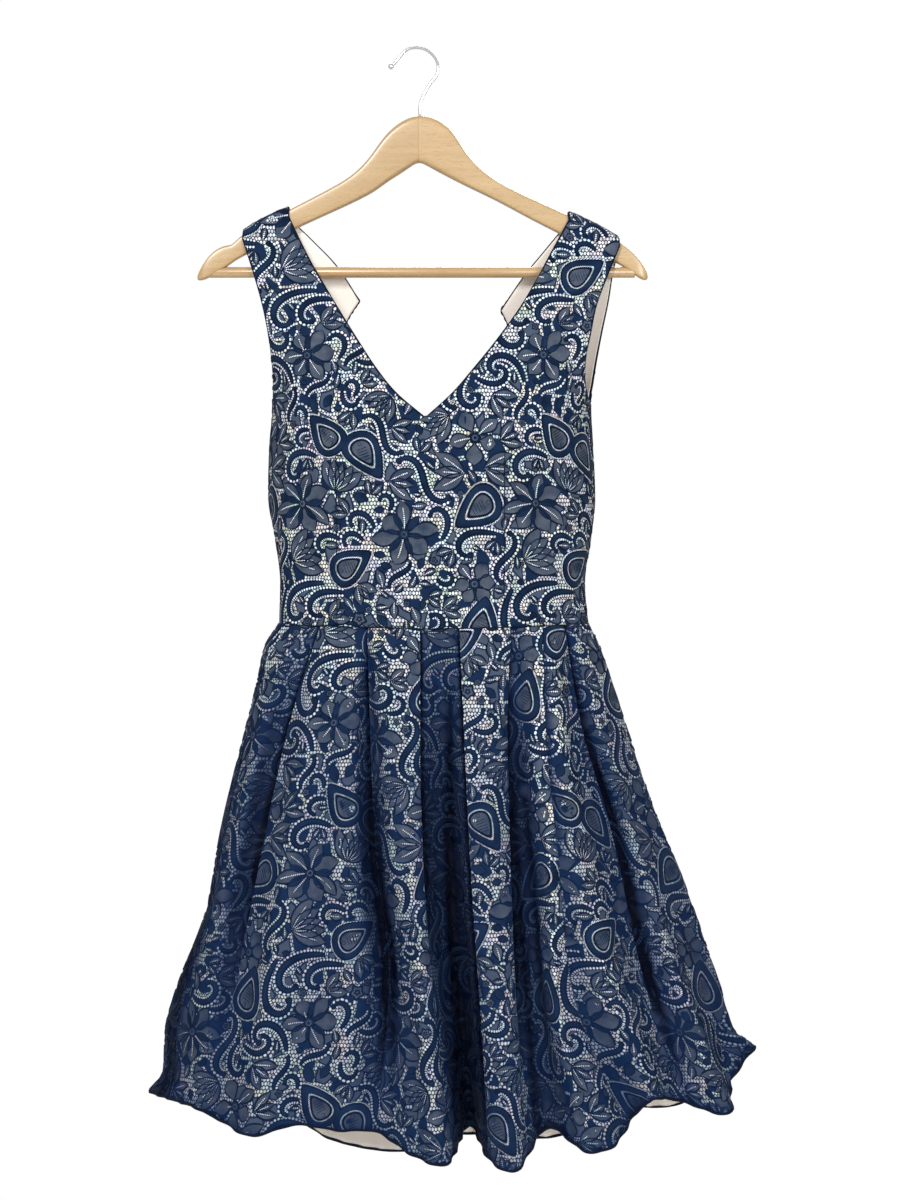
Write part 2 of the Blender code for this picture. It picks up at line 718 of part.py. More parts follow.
pull_outline = list(PULL_HALF_OUTLINE) + [PULL_TIP] + [(-x, y) for x, y in reversed(PULL_HALF_OUTLINE)]
pull_mesh = plate("zip_pull", [pull_outline, PULL_EYE], PULL_THICKNESS / 2)
pull = add_object("zip_pull", pull_mesh, ZIP_METAL)
pull_axis = (slider_face + PULL_AXIS_OUT, SLIDER_HEIGHT - PULL_AXIS_DROP)
pull.location = (slider_x * MM, pull_axis[0] * MM, pull_axis[1] * MM)
pull.rotation_euler = (math.radians(90), 0, 0)
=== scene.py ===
"""Finished looks of a cocktail dress: corded lace mounted on a champagne lining, hung on a wooden hanger.

The tables are in millimetres, in the same frame as the solids: X runs across the dress, the front faces
-Y and Z is up from the inside top of the hook. "Left" is the side at -X.
"""

import itertools
import math

import bmesh
import bpy
import numpy as np
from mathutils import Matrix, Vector
from mathutils.bvhtree import BVHTree
from mathutils.interpolate import poly_3d_calc


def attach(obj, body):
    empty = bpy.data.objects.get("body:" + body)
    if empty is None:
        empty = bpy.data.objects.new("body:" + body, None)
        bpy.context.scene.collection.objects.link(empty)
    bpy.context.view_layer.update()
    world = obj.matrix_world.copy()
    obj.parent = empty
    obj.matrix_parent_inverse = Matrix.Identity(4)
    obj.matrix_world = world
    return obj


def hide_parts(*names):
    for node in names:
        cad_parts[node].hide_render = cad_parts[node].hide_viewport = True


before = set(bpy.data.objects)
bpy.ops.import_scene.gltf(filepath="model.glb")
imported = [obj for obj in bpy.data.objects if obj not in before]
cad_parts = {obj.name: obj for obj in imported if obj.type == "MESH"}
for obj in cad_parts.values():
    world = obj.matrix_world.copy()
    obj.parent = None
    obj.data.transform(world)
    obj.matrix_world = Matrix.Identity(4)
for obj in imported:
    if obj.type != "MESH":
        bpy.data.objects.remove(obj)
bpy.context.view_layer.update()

# ---------------------------------------------------------------- studio
# A pale floor well below the hem, one large soft lamp above the left shoulder, and weaker ones that
# open the folds on the right and behind. The camera stands level with the middle of the dress.

CAMERA_PLACE = (0.0331, -3.0, -0.5435)
VIEW_TALL = 1.1844  # what the picture takes in from top to bottom, at the hanger
SENSOR = 36.0
FLOOR_HEIGHT = -1.45
FLOOR_SIZE = 2.2
LAMPS = (
    ("key lamp", (-0.9, -2.7, 0.9), 0.7, 75),
    ("fill lamp", (1.2, -2.8, 0.0), 0.9, 43),
    ("back lamp", (0.5, 2.4, 0.8), 1.4, 50),
)
LAMP_AIM = Vector((0.03, 0, -0.6))
AIR_SEEN, AIR_ON_CLOTH, AIR_IN_CHROME = 1.0, 0.36, 0.75  # strength seen, as soft light and as a reflection


class Look:
    """The shader nodes of a material or of the world. Each method adds a node and returns its output."""

    def __init__(self, owner, shader):
        owner.use_nodes = True
        self.owner, self.tree = owner, owner.node_tree
        self.shader = self.tree.nodes[shader]

    def fill(self, made, sockets):
        """Fills sockets by name or number, with plain values or with outputs of other nodes."""
        for key, value in sockets.items():
            if isinstance(value, bpy.types.NodeSocket):
                self.tree.links.new(value, made.inputs[key])
            else:
                made.inputs[key].default_value = value

    def put(self, **sockets):
        """Fills sockets of the shader itself."""
        self.fill(self.shader, {key.replace("_", " "): value for key, value in sockets.items()})

    def node(self, kind, sockets=(), **settings):
        made = self.tree.nodes.new("ShaderNode" + kind)
        for key, value in settings.items():
            setattr(made, key, value)
        self.fill(made, dict(sockets))
        return made.outputs

    def place(self):
        return self.node("TexCoord")["Object"]

    def map_of(self, name):
        return self.node("UVMap", uv_map=name)[0]

    def mapping(self, place, scale=(1, 1, 1), turn=(0, 0, 0)):
        return self.node("Mapping", {"Vector": place, "Rotation": turn, "Scale": scale})[0]

    def maths(self, operation, *values, **settings):
        return self.node("Math", dict(enumerate(values)), operation=operation, **settings)[0]

    def vector(self, operation, *values):
        made = self.node("VectorMath", dict(enumerate(values)), operation=operation)
        return made["Value" if operation == "LENGTH" else "Vector"]

    def noise(self, place, scale, detail, output=0, **more):
        return self.node("TexNoise", {"Vector": place, "Scale": scale, "Detail": detail, **more})[output]

    def wave(self, place, scale, distortion, detail=2.0, detail_scale=1.0, **settings):
        sockets = {"Vector": place, "Scale": scale, "Distortion": distortion, "Detail": detail}
        return self.node("TexWave", {**sockets, "Detail Scale": detail_scale}, **settings)[0]

    def ramp(self, value, low, high, to_low=0.0, to_high=1.0, **settings):
        """Carries the range from low to high over to the range from to_low to to_high."""
        return self.node("MapRange", {0: value, 1: low, 2: high, 3: to_low, 4: to_high}, **settings)[0]

    def mix(self, share, first, second, blend_type="MIX"):
        """A colour between the first, at a share of 0, and the second."""
        pair = [(*colour, 1) if isinstance(colour, tuple) else colour for colour in (first, second)]
        sockets = {0: share, 6: pair[0], 7: pair[1]}
        return self.node("Mix", sockets, data_type="RGBA", blend_type=blend_type)[2]

    def bump(self, height, strength, distance, **settings):
        sockets = {"Height": height, "Strength": strength, "Distance": distance}
        self.put(Normal=self.node("Bump", sockets, **settings)[0])


def finish(name, roughness, **sockets):
    """The look of a new material, with its shader's sockets filled as given."""
    look = Look(bpy.data.materials.new(name), "Principled BSDF")
    look.put(Roughness=roughness, **sockets)
    return look


def added(name, data):
    """A new object in the scene, with its data."""
    made = bpy.data.objects.new(name, data)
    bpy.context.scene.collection.objects.link(made)
    return made


camera = added("camera", bpy.data.cameras.new("camera"))
camera.location = CAMERA_PLACE
camera.rotation_euler = (math.radians(90), 0, 0)
camera.data.sensor_fit = "AUTO"
camera.data.sensor_width = SENSOR
camera.data.lens = SENSOR * -CAMERA_PLACE[1] / VIEW_TALL
bpy.context.scene.camera = camera

for name, place, size, power in LAMPS:
    lamp = added(name, bpy.data.lights.new(name, "AREA"))
    lamp.data.size = size
    lamp.data.energy = power
    lamp.location = place
    lamp.rotation_euler = (LAMP_AIM - lamp.location).to_track_quat("-Z", "Y").to_euler()

world = bpy.data.worlds.new("studio air")
air = Look(world, "Background")
ray = air.node("LightPath")
seen = air.ramp(ray["Is Camera Ray"], 0.0, 1.0, AIR_ON_CLOTH, AIR_SEEN)
mirrored = air.maths("MULTIPLY", ray["Is Glossy Ray"], AIR_IN_CHROME - AIR_ON_CLOTH)
air.put(Color=(1, 1, 1, 1), Strength=air.maths("ADD", seen, mirrored))
bpy.context.scene.world = world
bpy.context.scene.view_settings.view_transform = "Standard"

bpy.ops.mesh.primitive_plane_add(size=FLOOR_SIZE, location=(0, 0, FLOOR_HEIGHT))
floor = bpy.context.active_object
floor.name = "floor"
floor.data.materials.append(finish("pale floor", 0.8, Base_Color=(0.85, 0.85, 0.84, 1)).owner)


# ---------------------------------------------------------------- hanger arms
# Two contoured beech arms, 12 mm thick, glued in a mitre under the hook and rounded all along. They
# are clear-lacquered. The left arm's colour is a little darker and warmer than the right's.

MM = 0.001
WOOD_THICK = 12.0
WOOD_ROUND = 5.2
MITRE = 0.5  # the x of the joint under the hook
FIRST_X = 1  # the middle section, a block from which both arms are pulled out
FIRST_HALF = 3.0  # half its length
ALONG_X = 0.9  # a direction counts as along X from this share of its length
TIP_THIN = 0.62  # the last section's thickness, as a share of the one before


def table(names, *rows):
    """The rows as one array for each named column."""
    return dict(zip(names.split(), np.array(rows, float).T))


WOOD = table(
    "x top bottom",
    (-218, -223.5, -228.5),
    (-211, -210, -228),
    (-202, -199, -223.5),
    (-190, -193, -216),
    (-183, -194, -210.5),
    (-176, -184, -206),
    (-156, -174, -196),
    (-127, -158.5, -180),
    (-89, -139, -163),
    (-65, -125.5, -152),
    (-49, -109, -144),
    (-40, -95.5, -138.5),
    (-29, -80.5, -130),
    (-14, -69.5, -121),
    (1, -65.5, -112),
    (15, -67, -118.5),
    (31, -76, -127),
    (41, -91.5, -132),
    (50, -107, -136.5),
    (68, -124, -145),
    (85, -135, -153.5),
    (115, -149, -170),
    (148, -163.5, -186.5),
    (180, -179.5, -203),
    (203, -192, -214.5),
    (213, -201, -222),
    (221, -211, -228),
    (227, -222, -228),
)


def beech(name, light, dark, roughness):
    """Lacquered beech: long soft grain, short dark flecks and fine pores, all along X."""
    look = finish(name, roughness, Coat_Weight=0.35, Coat_Roughness=0.22)
    place = look.place()
    grain = look.noise(look.mapping(place, (9, 90, 150)), 1, 5, Distortion=0.6)
    fleck = look.noise(look.mapping(place, (180, 900, 1400)), 1, 2)
    wood = look.mix(look.ramp(grain, 0.32, 0.7), light, dark)
    deep = tuple(0.55 * part for part in dark)
    look.bump(grain, 0.12, 0.0006)
    return look, look.mix(look.ramp(fleck, 0.56, 0.72, 0, 0.55), wood, deep), place


def select_only(piece):
    bpy.ops.object.select_all(action="DESELECT")
    bpy.context.view_layer.objects.active = piece
    piece.select_set(True)


def open_edit(piece, kind, chosen):
    """Opens edit mode on one piece, with those of its faces or edges selected that chosen picks."""
    select_only(piece)
    bpy.ops.object.mode_set(mode="EDIT")
    bpy.ops.mesh.select_mode(type=kind)
    bpy.ops.mesh.select_all(action="DESELECT")
    work = bmesh.from_edit_mesh(piece.data)
    for part in work.faces if kind == "FACE" else work.edges:
        part.select_set(bool(chosen(part)))
    work.select_flush_mode()
    bmesh.update_edit_mesh(piece.data)


def runs_along_x(edge):
    along = edge.verts[1].co - edge.verts[0].co
    return abs(along.x) > ALONG_X * along.length


sections = list(zip(*WOOD.values()))
start = list(WOOD["x"]).index(FIRST_X)
first_x, first_top, first_bottom = sections[start]
first_height, first_tall = (first_top + first_bottom) / 2, first_top - first_bottom
bpy.ops.mesh.primitive_cube_add(size=1, location=(first_x * MM, 0, first_height * MM))
arms = bpy.context.active_object
arms.name = "hanger_arms_shaped"
arms.scale = (2 * FIRST_HALF * MM, WOOD_THICK * MM, first_tall * MM)
select_only(arms)
bpy.ops.object.transform_apply(location=True, rotation=True, scale=True)

# The four long edges are rounded first, so that each pulled section keeps the rounding.
open_edit(arms, "EDGE", runs_along_x)
bpy.ops.mesh.bevel(offset=WOOD_ROUND * MM, segments=3, affect="EDGES")
bpy.ops.object.mode_set(mode="OBJECT")

for direction in (-1, 1):
    open_edit(arms, "FACE", lambda face: face.normal.x * direction > ALONG_X)
    reach, height, tall = first_x + FIRST_HALF * direction, first_height, first_tall
    outward = sections[start + 1 :] if direction == 1 else sections[:start][::-1]
    for x, top, bottom in outward:
        middle = (top + bottom) / 2
        bpy.ops.mesh.extrude_region_move(
            TRANSFORM_OT_translate={"value": ((x - reach) * MM, 0, (middle - height) * MM)}
        )
        thin = TIP_THIN if x == outward[-1][0] else 1.0
        bpy.ops.transform.resize(
            value=(1, thin, (top - bottom) / tall), center_override=(x * MM, 0, middle * MM)
        )
        reach, height, tall = x, middle, top - bottom
    bpy.ops.object.mode_set(mode="OBJECT")

arms.modifiers.new("smooth", "SUBSURF").levels = 2
arms.modifiers["smooth"].render_levels = 2
select_only(arms)
bpy.ops.object.modifier_apply(modifier="smooth")
arms.data.shade_smooth()

look, colour, place = beech("arm beech", (0.475, 0.322, 0.153), (0.412, 0.266, 0.115), 0.38)
from_joint = look.maths("SUBTRACT", look.node("SeparateXYZ", {0: place})["X"], MITRE * MM)
# The arm left of the joint is tinted a little darker and warmer.
left_arm_tint = look.mix(look.maths("GREATER_THAN", from_joint, 0.0), (0.93, 0.91, 0.88), (1, 1, 1))
tinted_arms = look.mix(1.0, colour, left_arm_tint, "MULTIPLY")
glue = look.ramp(look.maths("ABSOLUTE", from_joint), 0.0002, 0.0007, 0.55, 0.0)
look.put(Base_Color=look.mix(glue, tinted_arms, (0.28, 0.15, 0.06)))
arms.data.materials.append(look.owner)
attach(arms, "dress")
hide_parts("hanger_arms")


# ---------------------------------------------------------------- trouser bar
# A turned beech rod, glued into the arms' lower ends. It is a little darker and glossier.

BAR_RADIUS = 5.3
BAR_FACETS = 40
BAR_HEIGHT = -220.2
BAR_ENDS = (-206.0, 214.0)
BAR_END_ROUND = 0.8
BAR_SHARP = math.radians(40)  # edges that turn more than this stay sharp

bpy.ops.mesh.primitive_cylinder_add(
    vertices=BAR_FACETS,
    radius=BAR_RADIUS * MM,
    depth=(BAR_ENDS[1] - BAR_ENDS[0]) * MM,
    location=(sum(BAR_ENDS) / 2 * MM, 0, BAR_HEIGHT * MM),
    rotation=(0, math.radians(90), 0),
)
bar = bpy.context.active_object
bar.name = "hanger_bar_turned"
select_only(bar)
bpy.ops.object.transform_apply(location=True, rotation=True, scale=True)
open_edit(bar, "FACE", lambda face: abs(face.normal.x) > ALONG_X)
bpy.ops.mesh.bevel(offset=BAR_END_ROUND * MM, segments=2, affect="EDGES")
bpy.ops.object.mode_set(mode="OBJECT")
bar.data.shade_smooth()
bar.data.set_sharp_from_angle(angle=BAR_SHARP)
look, colour, place = beech("bar beech", (0.486, 0.324, 0.168), (0.405, 0.250, 0.115), 0.26)
look.put(Base_Color=colour)
bar.data.materials.append(look.owner)
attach(bar, "dress")
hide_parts("hanger_bar")


# ---------------------------------------------------------------- hook
# One piece of 3.2 mm chromed wire, screwed into the arms' joint and turned over to a ball end.

WIRE_RADIUS = 1.6
BALL_RADIUS = 3.0
BALL_JOIN = 0.1  # how far the wire runs into the ball, as a share of its radius
BALL_ANGLES = np.linspace(0.32, math.pi - 0.12, 12)  # the ball's rings, from the wire to its end
BALL_TIP = 0.02  # the last ring's radius, as a share of the ball's
WIRE_FACETS = 24
HOOK_POINTS = 120
PATH_STEPS = 24
NO_PATH = (0.13, 0.31, 0.94)  # a direction in which no wire or thread starts

HOOK = table(
    "x height",
    (2, -65.1),
    (2, -57),
    (5, -46.5),
    (12, -34),
    (18.3, -26),
    (20, -17),
    (17, -8.5),
    (9.5, -1.2),
    (0, 1.6),
    (-9, 0.4),
    (-16, -5.2),
    (-22, -12.5),
    (-28.5, -19),
)


def catmull(before, start, end, after, f):
    """A point on the curve from start to end that passes smoothly through its neighbours."""
    bend = 2 * before - 5 * start + 4 * end - after
    turn = 3 * start - before - 3 * end + after
    return 0.5 * (2 * start + (end - before) * f + bend * f**2 + turn * f**3)


def lengths(path):
    """How far along a path each of its points is."""
    return np.concatenate([[0], np.cumsum(np.linalg.norm(np.diff(path, axis=0), axis=1))])


def unit(vectors):
    return vectors / np.linalg.norm(vectors, axis=-1, keepdims=True)


def read_along(path, stations, at):
    """Points of a path with the given stations, read at others."""
    return np.column_stack([np.interp(at, stations, part) for part in np.transpose(path)])


def smooth_path(points, count):
    """Evenly spaced points on a smooth curve through the given ones."""
    points = np.asarray(points, float)
    ends = np.vstack([2 * points[0] - points[1], points, 2 * points[-1] - points[-2]])
    fine = []
    for four in zip(ends, ends[1:], ends[2:], ends[3:]):
        fine += [catmull(*four, f) for f in np.linspace(0, 1, PATH_STEPS, endpoint=False)]
    fine = np.array(fine + [points[-1]])
    run = lengths(fine)
    return read_along(fine, run, np.linspace(0, run[-1], count))


def mesh_piece(name, work):
    """A smooth piece from a bmesh, which is used up."""
    data = bpy.data.meshes.new(name)
    work.to_mesh(data)
    work.free()
    data.shade_smooth()
    return added(name, data)


def tube(name, path, radius, sides=10):
    """A round thread or wire along a path of points in mm, with closed ends and a map along and round it."""
    path = np.asarray(path, float)
    run = lengths(path)
    aheads = unit(np.gradient(path, axis=0))
    side = np.cross(aheads[0], NO_PATH)
    work = bmesh.new()
    mapped = work.loops.layers.uv.new("thread")
    angles = np.linspace(0, 2 * math.pi, sides, endpoint=False)
    rings = []
    for point, ahead, r in zip(path, aheads, np.broadcast_to(radius, len(path))):
        side = unit(side - ahead * np.dot(side, ahead))
        up = np.cross(ahead, side)
        ring = [point + r * (math.cos(a) * side + math.sin(a) * up) for a in angles]
        rings.append([work.verts.new(place * MM) for place in ring])
    for k in range(len(rings) - 1):
        for j in range(sides):
            corners = ((k, j), (k, j + 1), (k + 1, j + 1), (k + 1, j))
            face = work.faces.new([rings[ring][turn % sides] for ring, turn in corners])
            for loop, (ring, turn) in zip(face.loops, corners):
                loop[mapped].uv = (run[ring], turn / sides)
    work.faces.new(rings[0][::-1])
    work.faces.new(rings[-1])
    bmesh.ops.recalc_face_normals(work, faces=work.faces)
    return mesh_piece(name, work)


route = smooth_path(np.column_stack([HOOK["x"], np.zeros(len(HOOK["x"])), HOOK["height"]]), HOOK_POINTS)
run = lengths(route)
neck = run[-1] - 2 * BALL_RADIUS
on_wire = run[run < neck + BALL_JOIN * BALL_RADIUS]
stations = np.concatenate([on_wire, neck + BALL_RADIUS * (1 - np.cos(BALL_ANGLES))])
from_middle = (stations - neck) / BALL_RADIUS - 1
bulge = BALL_RADIUS * np.sqrt(np.clip(1 - from_middle**2, BALL_TIP**2, 1))
radius = np.where(stations < neck + BALL_RADIUS, np.maximum(bulge, WIRE_RADIUS), bulge)
radius = np.where(stations < neck, WIRE_RADIUS, radius)
hook = tube("hanger_hook_wire", read_along(route, run, stations), radius, WIRE_FACETS)
look = finish("chrome wire", 0.1, Metallic=1.0)
haze = look.noise(look.place(), 260.0, 3.0)
look.put(Roughness=look.ramp(haze, 0.3, 0.8, 0.07, 0.22))
look.put(Base_Color=look.mix(haze, (0.72, 0.73, 0.75), (0.6, 0.6, 0.62)))
hook.data.materials.append(look.owner)
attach(hook, "dress")
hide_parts("hanger_hook")


# ---------------------------------------------------------------- bodice front
# One piece of corded lace mounted on its lining and sewn as a single layer, with a deep V neck and a
# bust dart up each side of the front. Its outside is a net ground and its inside the lining.

SIDES = ("left", "right")
FORWARD, BACKWARD = np.array((0, -1, 0)), np.array((0, 1, 0))
FACING = {"front": -1, "back": 1}
LACE_WALL = 1.6  # lace and lining together
CLOTH_FULLNESS = 2.5  # how square the bodice's sections are; 2 would be an oval
WAIST_MIDDLE, WAIST_RISE = -571.0, 5.0  # the waist seam's height in front, and its rise at the sides
UNDERARM = -352.0
CENTRE_WAIST = 16.0  # the x of the centre line at the waist
V_X, V_HEIGHT = 8, -369  # the point of the V neck
SEAM_EDGE, UNDERARM_EDGE = 0.5, 1.8  # how near the side seams come to the hanger's middle plane
STRAP_OUT, STRAP_PROUD = 9.5, 3.5  # how far the straps lie off that plane, and above the wood
SHOULDER_EDGE = 0.7  # how near they come to it on top of the wood
CLEAR_FROM, CLEAR_FULL = -345.0, -290.0  # the heights over which the cloth comes out to clear the wood
WRAP_ANGLES = np.linspace(0, 86, 8)[1:]  # of the straps' rows on top of the wood
BODICE_COLUMNS = 46
BODICE_TUBE_ROWS, STRAP_ROWS = 56, 52  # rows up to the underarm, and from there to the shoulder
NAPE_ROWS = 16  # the last of the back's rows, above the keyhole
MERGED = 0.02  # points nearer than this become one
CLOTH_SHARP = math.radians(55)  # edges that turn more than this stay sharp
FLAT_SAMPLES = 40  # steps in which the length round the cloth is measured
CREASE_BOW = 0.05  # how far a crease bows aside, as a share of its length
CREASE_LONG, CREASE_FADE = 1.15, 0.8  # where it ends, in halves of its length, and how softly
WAIST_CLEAR, WAIST_FADE, SIDE_FADE = 6.0, 14.0, 12.0  # where creases end at the waist and side seams
NET_WIDE, NET_TALL = 3.2, 7.5  # from hole to hole along a row, and over two rows
HOLE, HOLE_TALL = 1.25, 1.3  # half the width of a hole of the net, and its height over its width
HOLE_SHARP, HOLE_SOFT = 0.2, 0.25  # how far inside and outside that size its edge fades
WORK_SCALE = 60.0  # patches of net, close work and sheer filling per metre of cloth
OPEN_BELOW, SHEER_ABOVE = 0.23, 0.60  # the patches' draws, of 0 to 1, that make net and sheer filling
LIGHT_FAILS = (0.09, 0.42)  # a fold is at its darkest below the first, and its colour whole above the second

# Painted shade in a fold: how soon the lining and the lace change colour, the colour painted on its sides and
# the dark painted deep inside it.
LINING_PAINTED_SHADE = 2.2, (0.034, 0.062, 0.135), (0.0012, 0.003, 0.010)
NAVY_PAINTED_SHADE = 1.3, (0.0035, 0.015, 0.058), (0.0003, 0.001, 0.006)

BODY = table(
    "height left right front back",
    (-572, -136, 168, 58, 38),
    (-525, -135, 164, 63, 41),
    (-485, -140, 170, 70, 44),
    (-440, -147, 174, 78, 47),
    (-395, -146, 172, 84, 47),
    (-352, -143, 170, 80, 45),
    (-300, -152, 182, 62, 37),
    (-255, -168, 198, 38, 25),
    (-215, -185, 214, 18, 13),
    (-165, -195, 222, 2, 2),
)
BUST = table("x height wide tall out", (-78, -408, 36, 46, 11), (84, -408, 36, 46, 11))
FRONT_NECK = table(
    "left_x left_height right_x right_height",
    (V_X, V_HEIGHT, V_X, V_HEIGHT),
    (-20, -345, 34, -345),
    (-40, -320, 55, -320),
    (-58, -292, 77, -292),
    (-78, -259, 100, -259),
    (-95, -230, 117, -230),
    (-109, -205, 130, -205),
    (-128, -166, 149, -170),
)
FRONT_ARMHOLE = table(
    "left_x left_height right_x right_height",
    (-143, -352, 170, -352),
    (-142, -330, 164, -334),
    (-143, -308, 164, -308),
    (-146, -283, 169, -283),
    (-152, -254, 175, -254),
    (-161, -222, 187, -222),
    (-172, -188, 198, -195),
)

# Soft creases of the hanging front, from one end to the other: troughs where the depth is negative.
FRONT_CREASES = table(
    "x height to_x to_height depth half_width",
    (-108, -326, -80, -416, -2.4, 5),
    (-99, -330, -72, -412, 1.6, 6),
    (52, -346, 71, -414, -2.0, 5),
    (60, -350, 80, -410, 1.3, 6),
    (-128, -420, -100, -562, 1.4, 9),
    (-116, -440, -92, -560, -1.2, 7),
    (132, -412, 112, -560, -1.6, 9),
    (146, -440, 126, -560, 1.3, 8),
    (-34, -404, -22, -560, -1.1, 11),
    (2, -420, 12, -556, 0.8, 9),
    (34, -430, 48, -556, -1.0, 10),
    (-66, -520, -16, -548, -0.9, 6),
    (96, -500, 142, -532, -1.0, 7),
    (-134, -492, -98, -534, -1.0, 7),
    (152, -378, 108, -440, -1.3, 8),
    (-132, -372, -112, -420, 1.0, 7),
    (-22, -372, 30, -378, -0.8, 8),
    (-118, -200, -130, -268, -0.9, 7),
    (-146, -206, -128, -318, 0.9, 8),
    (150, -204, 160, -300, -1.0, 8),
    (138, -222, 118, -300, 0.9, 8),
)


def smooth_read(stations, values, at):
    """Reads values between stations on a smooth curve that never overshoots them."""
    slopes = np.diff(values) / np.diff(stations)
    product = slopes[:-1] * slopes[1:]
    total = np.where(product > 0, slopes[:-1] + slopes[1:], 1)
    inner = np.where(product > 0, 2 * product / total, 0)
    tangents = np.concatenate([slopes[:1], inner, slopes[-1:]])
    at = np.clip(at, stations[0], stations[-1])
    span = np.clip(np.searchsorted(stations, at, side="right") - 1, 0, len(stations) - 2)
    width = stations[span + 1] - stations[span]
    f = (at - stations[span]) / width
    rise = values[span + 1] - values[span]
    start = width * tangents[span]
    end = width * tangents[span + 1]
    return values[span] + start * f + (3 * rise - 2 * start - end) * f**2 + (start + end - 2 * rise) * f**3


def wood_top(x):
    return np.interp(x, WOOD["x"], WOOD["top"])


def lens(sideways):
    """How deep a section is at a share of its half-width, from 1 in the middle to 0 at the side seam."""
    return np.sqrt(np.clip(1 - np.abs(sideways) ** CLOTH_FULLNESS, 0, 1))


def body_sides(height):
    left, right = (smooth_read(BODY["height"], BODY[side], height) for side in SIDES)
    return (left + right) / 2, (right - left) / 2


def body_depth(x, height, face):
    """Distance of the cloth from the hanger's middle plane, on the front or back face."""
    middle, half = body_sides(height)
    depth = smooth_read(BODY["height"], BODY[face], height) * lens((x - middle) / half)
    if face == "front":
        for cup_x, cup_height, wide, tall, out in zip(*BUST.values()):
            swell = out * np.exp(-(((x - cup_x) / wide) ** 2) - ((height - cup_height) / tall) ** 2)
            depth = depth + swell * lens((x - middle) / half)
    share = np.clip((height - CLEAR_FROM) / (CLEAR_FULL - CLEAR_FROM), 0, 1)
    clear = STRAP_OUT * share * share * (3 - 2 * share)
    return np.hypot(depth, clear)


def waist_height(turn):
    """Height of the waist seam; turn is -1 at the left seam, 0 in the middle and 1 at the right seam."""
    return WAIST_MIDDLE + WAIST_RISE * turn**2


def body_row(inner, outer, face):
    """One row of outer points from an inner edge point to an outer one, evenly round the section."""
    ends = []
    for x, height in (inner, outer):
        middle, half = body_sides(height)
        ends.append((math.asin(np.clip((x - middle) / half, -1, 1)), height))
    shares = np.linspace(0, 1, BODICE_COLUMNS + 1)
    angles, heights = (low + (high - low) * shares for low, high in zip(*ends))
    middle, half = body_sides(heights)
    x = middle + half * np.sin(angles)
    return np.column_stack([x, FACING[face] * body_depth(x, heights, face), heights])


def edge_path(points, side, count):
    """One side's edge line, smooth and evenly spaced."""
    return smooth_path(np.column_stack([points[side + "_x"], points[side + "_height"]]), count)


def centre_x(height):
    """The x of the bodice's centre line."""
    return np.interp(height, (WAIST_MIDDLE, V_HEIGHT), (CENTRE_WAIST, V_X))


def half_bodice(side, face, centre_gap=0.0):
    """Outer points of one half of the bodice and their place on the flat cloth, from the centre line out."""
    sign = -1 if side == "left" else 1
    if face == "front":
        inner_strap = edge_path(FRONT_NECK, side, STRAP_ROWS + 1)
        outer_strap = edge_path(FRONT_ARMHOLE, side, STRAP_ROWS + 1)
    else:
        keyhole = edge_path(KEYHOLE, side, STRAP_ROWS - NAPE_ROWS)
        inner_strap = np.vstack([keyhole, edge_path(NAPE, side, NAPE_ROWS + 1)[1:]])
        outer_strap = edge_path(BACK_ARMHOLE, side, len(inner_strap))
    for strap in (inner_strap, outer_strap):
        strap[-1, 1] = wood_top(strap[-1, 0]) + STRAP_PROUD - STRAP_OUT
    tip_x, tip_height = inner_strap[0]
    side_low = waist_height(1)
    rows = []
    for share in np.linspace(0, 1, BODICE_TUBE_ROWS + 1)[:-1]:
        inner_x = CENTRE_WAIST + (tip_x - CENTRE_WAIST) * share + sign * centre_gap
        outer_height = side_low + (UNDERARM - side_low) * share
        middle, half = body_sides(outer_height)
        inner = (inner_x, WAIST_MIDDLE + (tip_height - WAIST_MIDDLE) * share)
        rows.append(body_row(inner, (middle + sign * half, outer_height), face))
    rows += [body_row(inner, outer, face) for inner, outer in zip(inner_strap, outer_strap)]
    grid = np.array(rows)

    # The flat place is the length round the cloth from the centre line, and the height.
    x, height = grid[..., 0], grid[..., 2]
    shares = np.linspace(0, 1, FLAT_SAMPLES)[:, None, None]
    from_centre = centre_x(height) + (x - centre_x(height)) * shares
    depths = body_depth(from_centre, np.broadcast_to(height, from_centre.shape), face)
    across = np.hypot(np.diff(from_centre, axis=0), np.diff(depths, axis=0)).sum(axis=0)
    flat = np.dstack([np.sign(x - centre_x(height)) * across, height])

    # The straps turn over the top of the wood.
    last, last_flat = grid[-1], flat[-1]
    for a in np.radians(WRAP_ANGLES):
        depth = FACING[face] * np.maximum(np.abs(last[:, 1]) * math.cos(a), SHOULDER_EDGE)
        row = np.column_stack([last[:, 0], depth, last[:, 2] + STRAP_OUT * math.sin(a)])
        grid = np.vstack([grid, row[None]])
        flat = np.vstack([flat, (last_flat + (0, STRAP_OUT * a))[None]])
    seam = np.abs(grid[:, -1, 1]) < SEAM_EDGE
    grid[seam, -1, 1] = FACING[face] * SEAM_EDGE
    grid[BODICE_TUBE_ROWS, -1, 1] = FACING[face] * UNDERARM_EDGE
    return grid, flat


def grid_normals(grid, outward):
    """Unit normals of a grid of points, towards outward."""
    normals = np.cross(np.gradient(grid, axis=1), np.gradient(grid, axis=0))
    normals /= np.maximum(np.linalg.norm(normals, axis=2), 1e-9)[..., None]
    return -normals if (normals * outward).sum() < 0 else normals


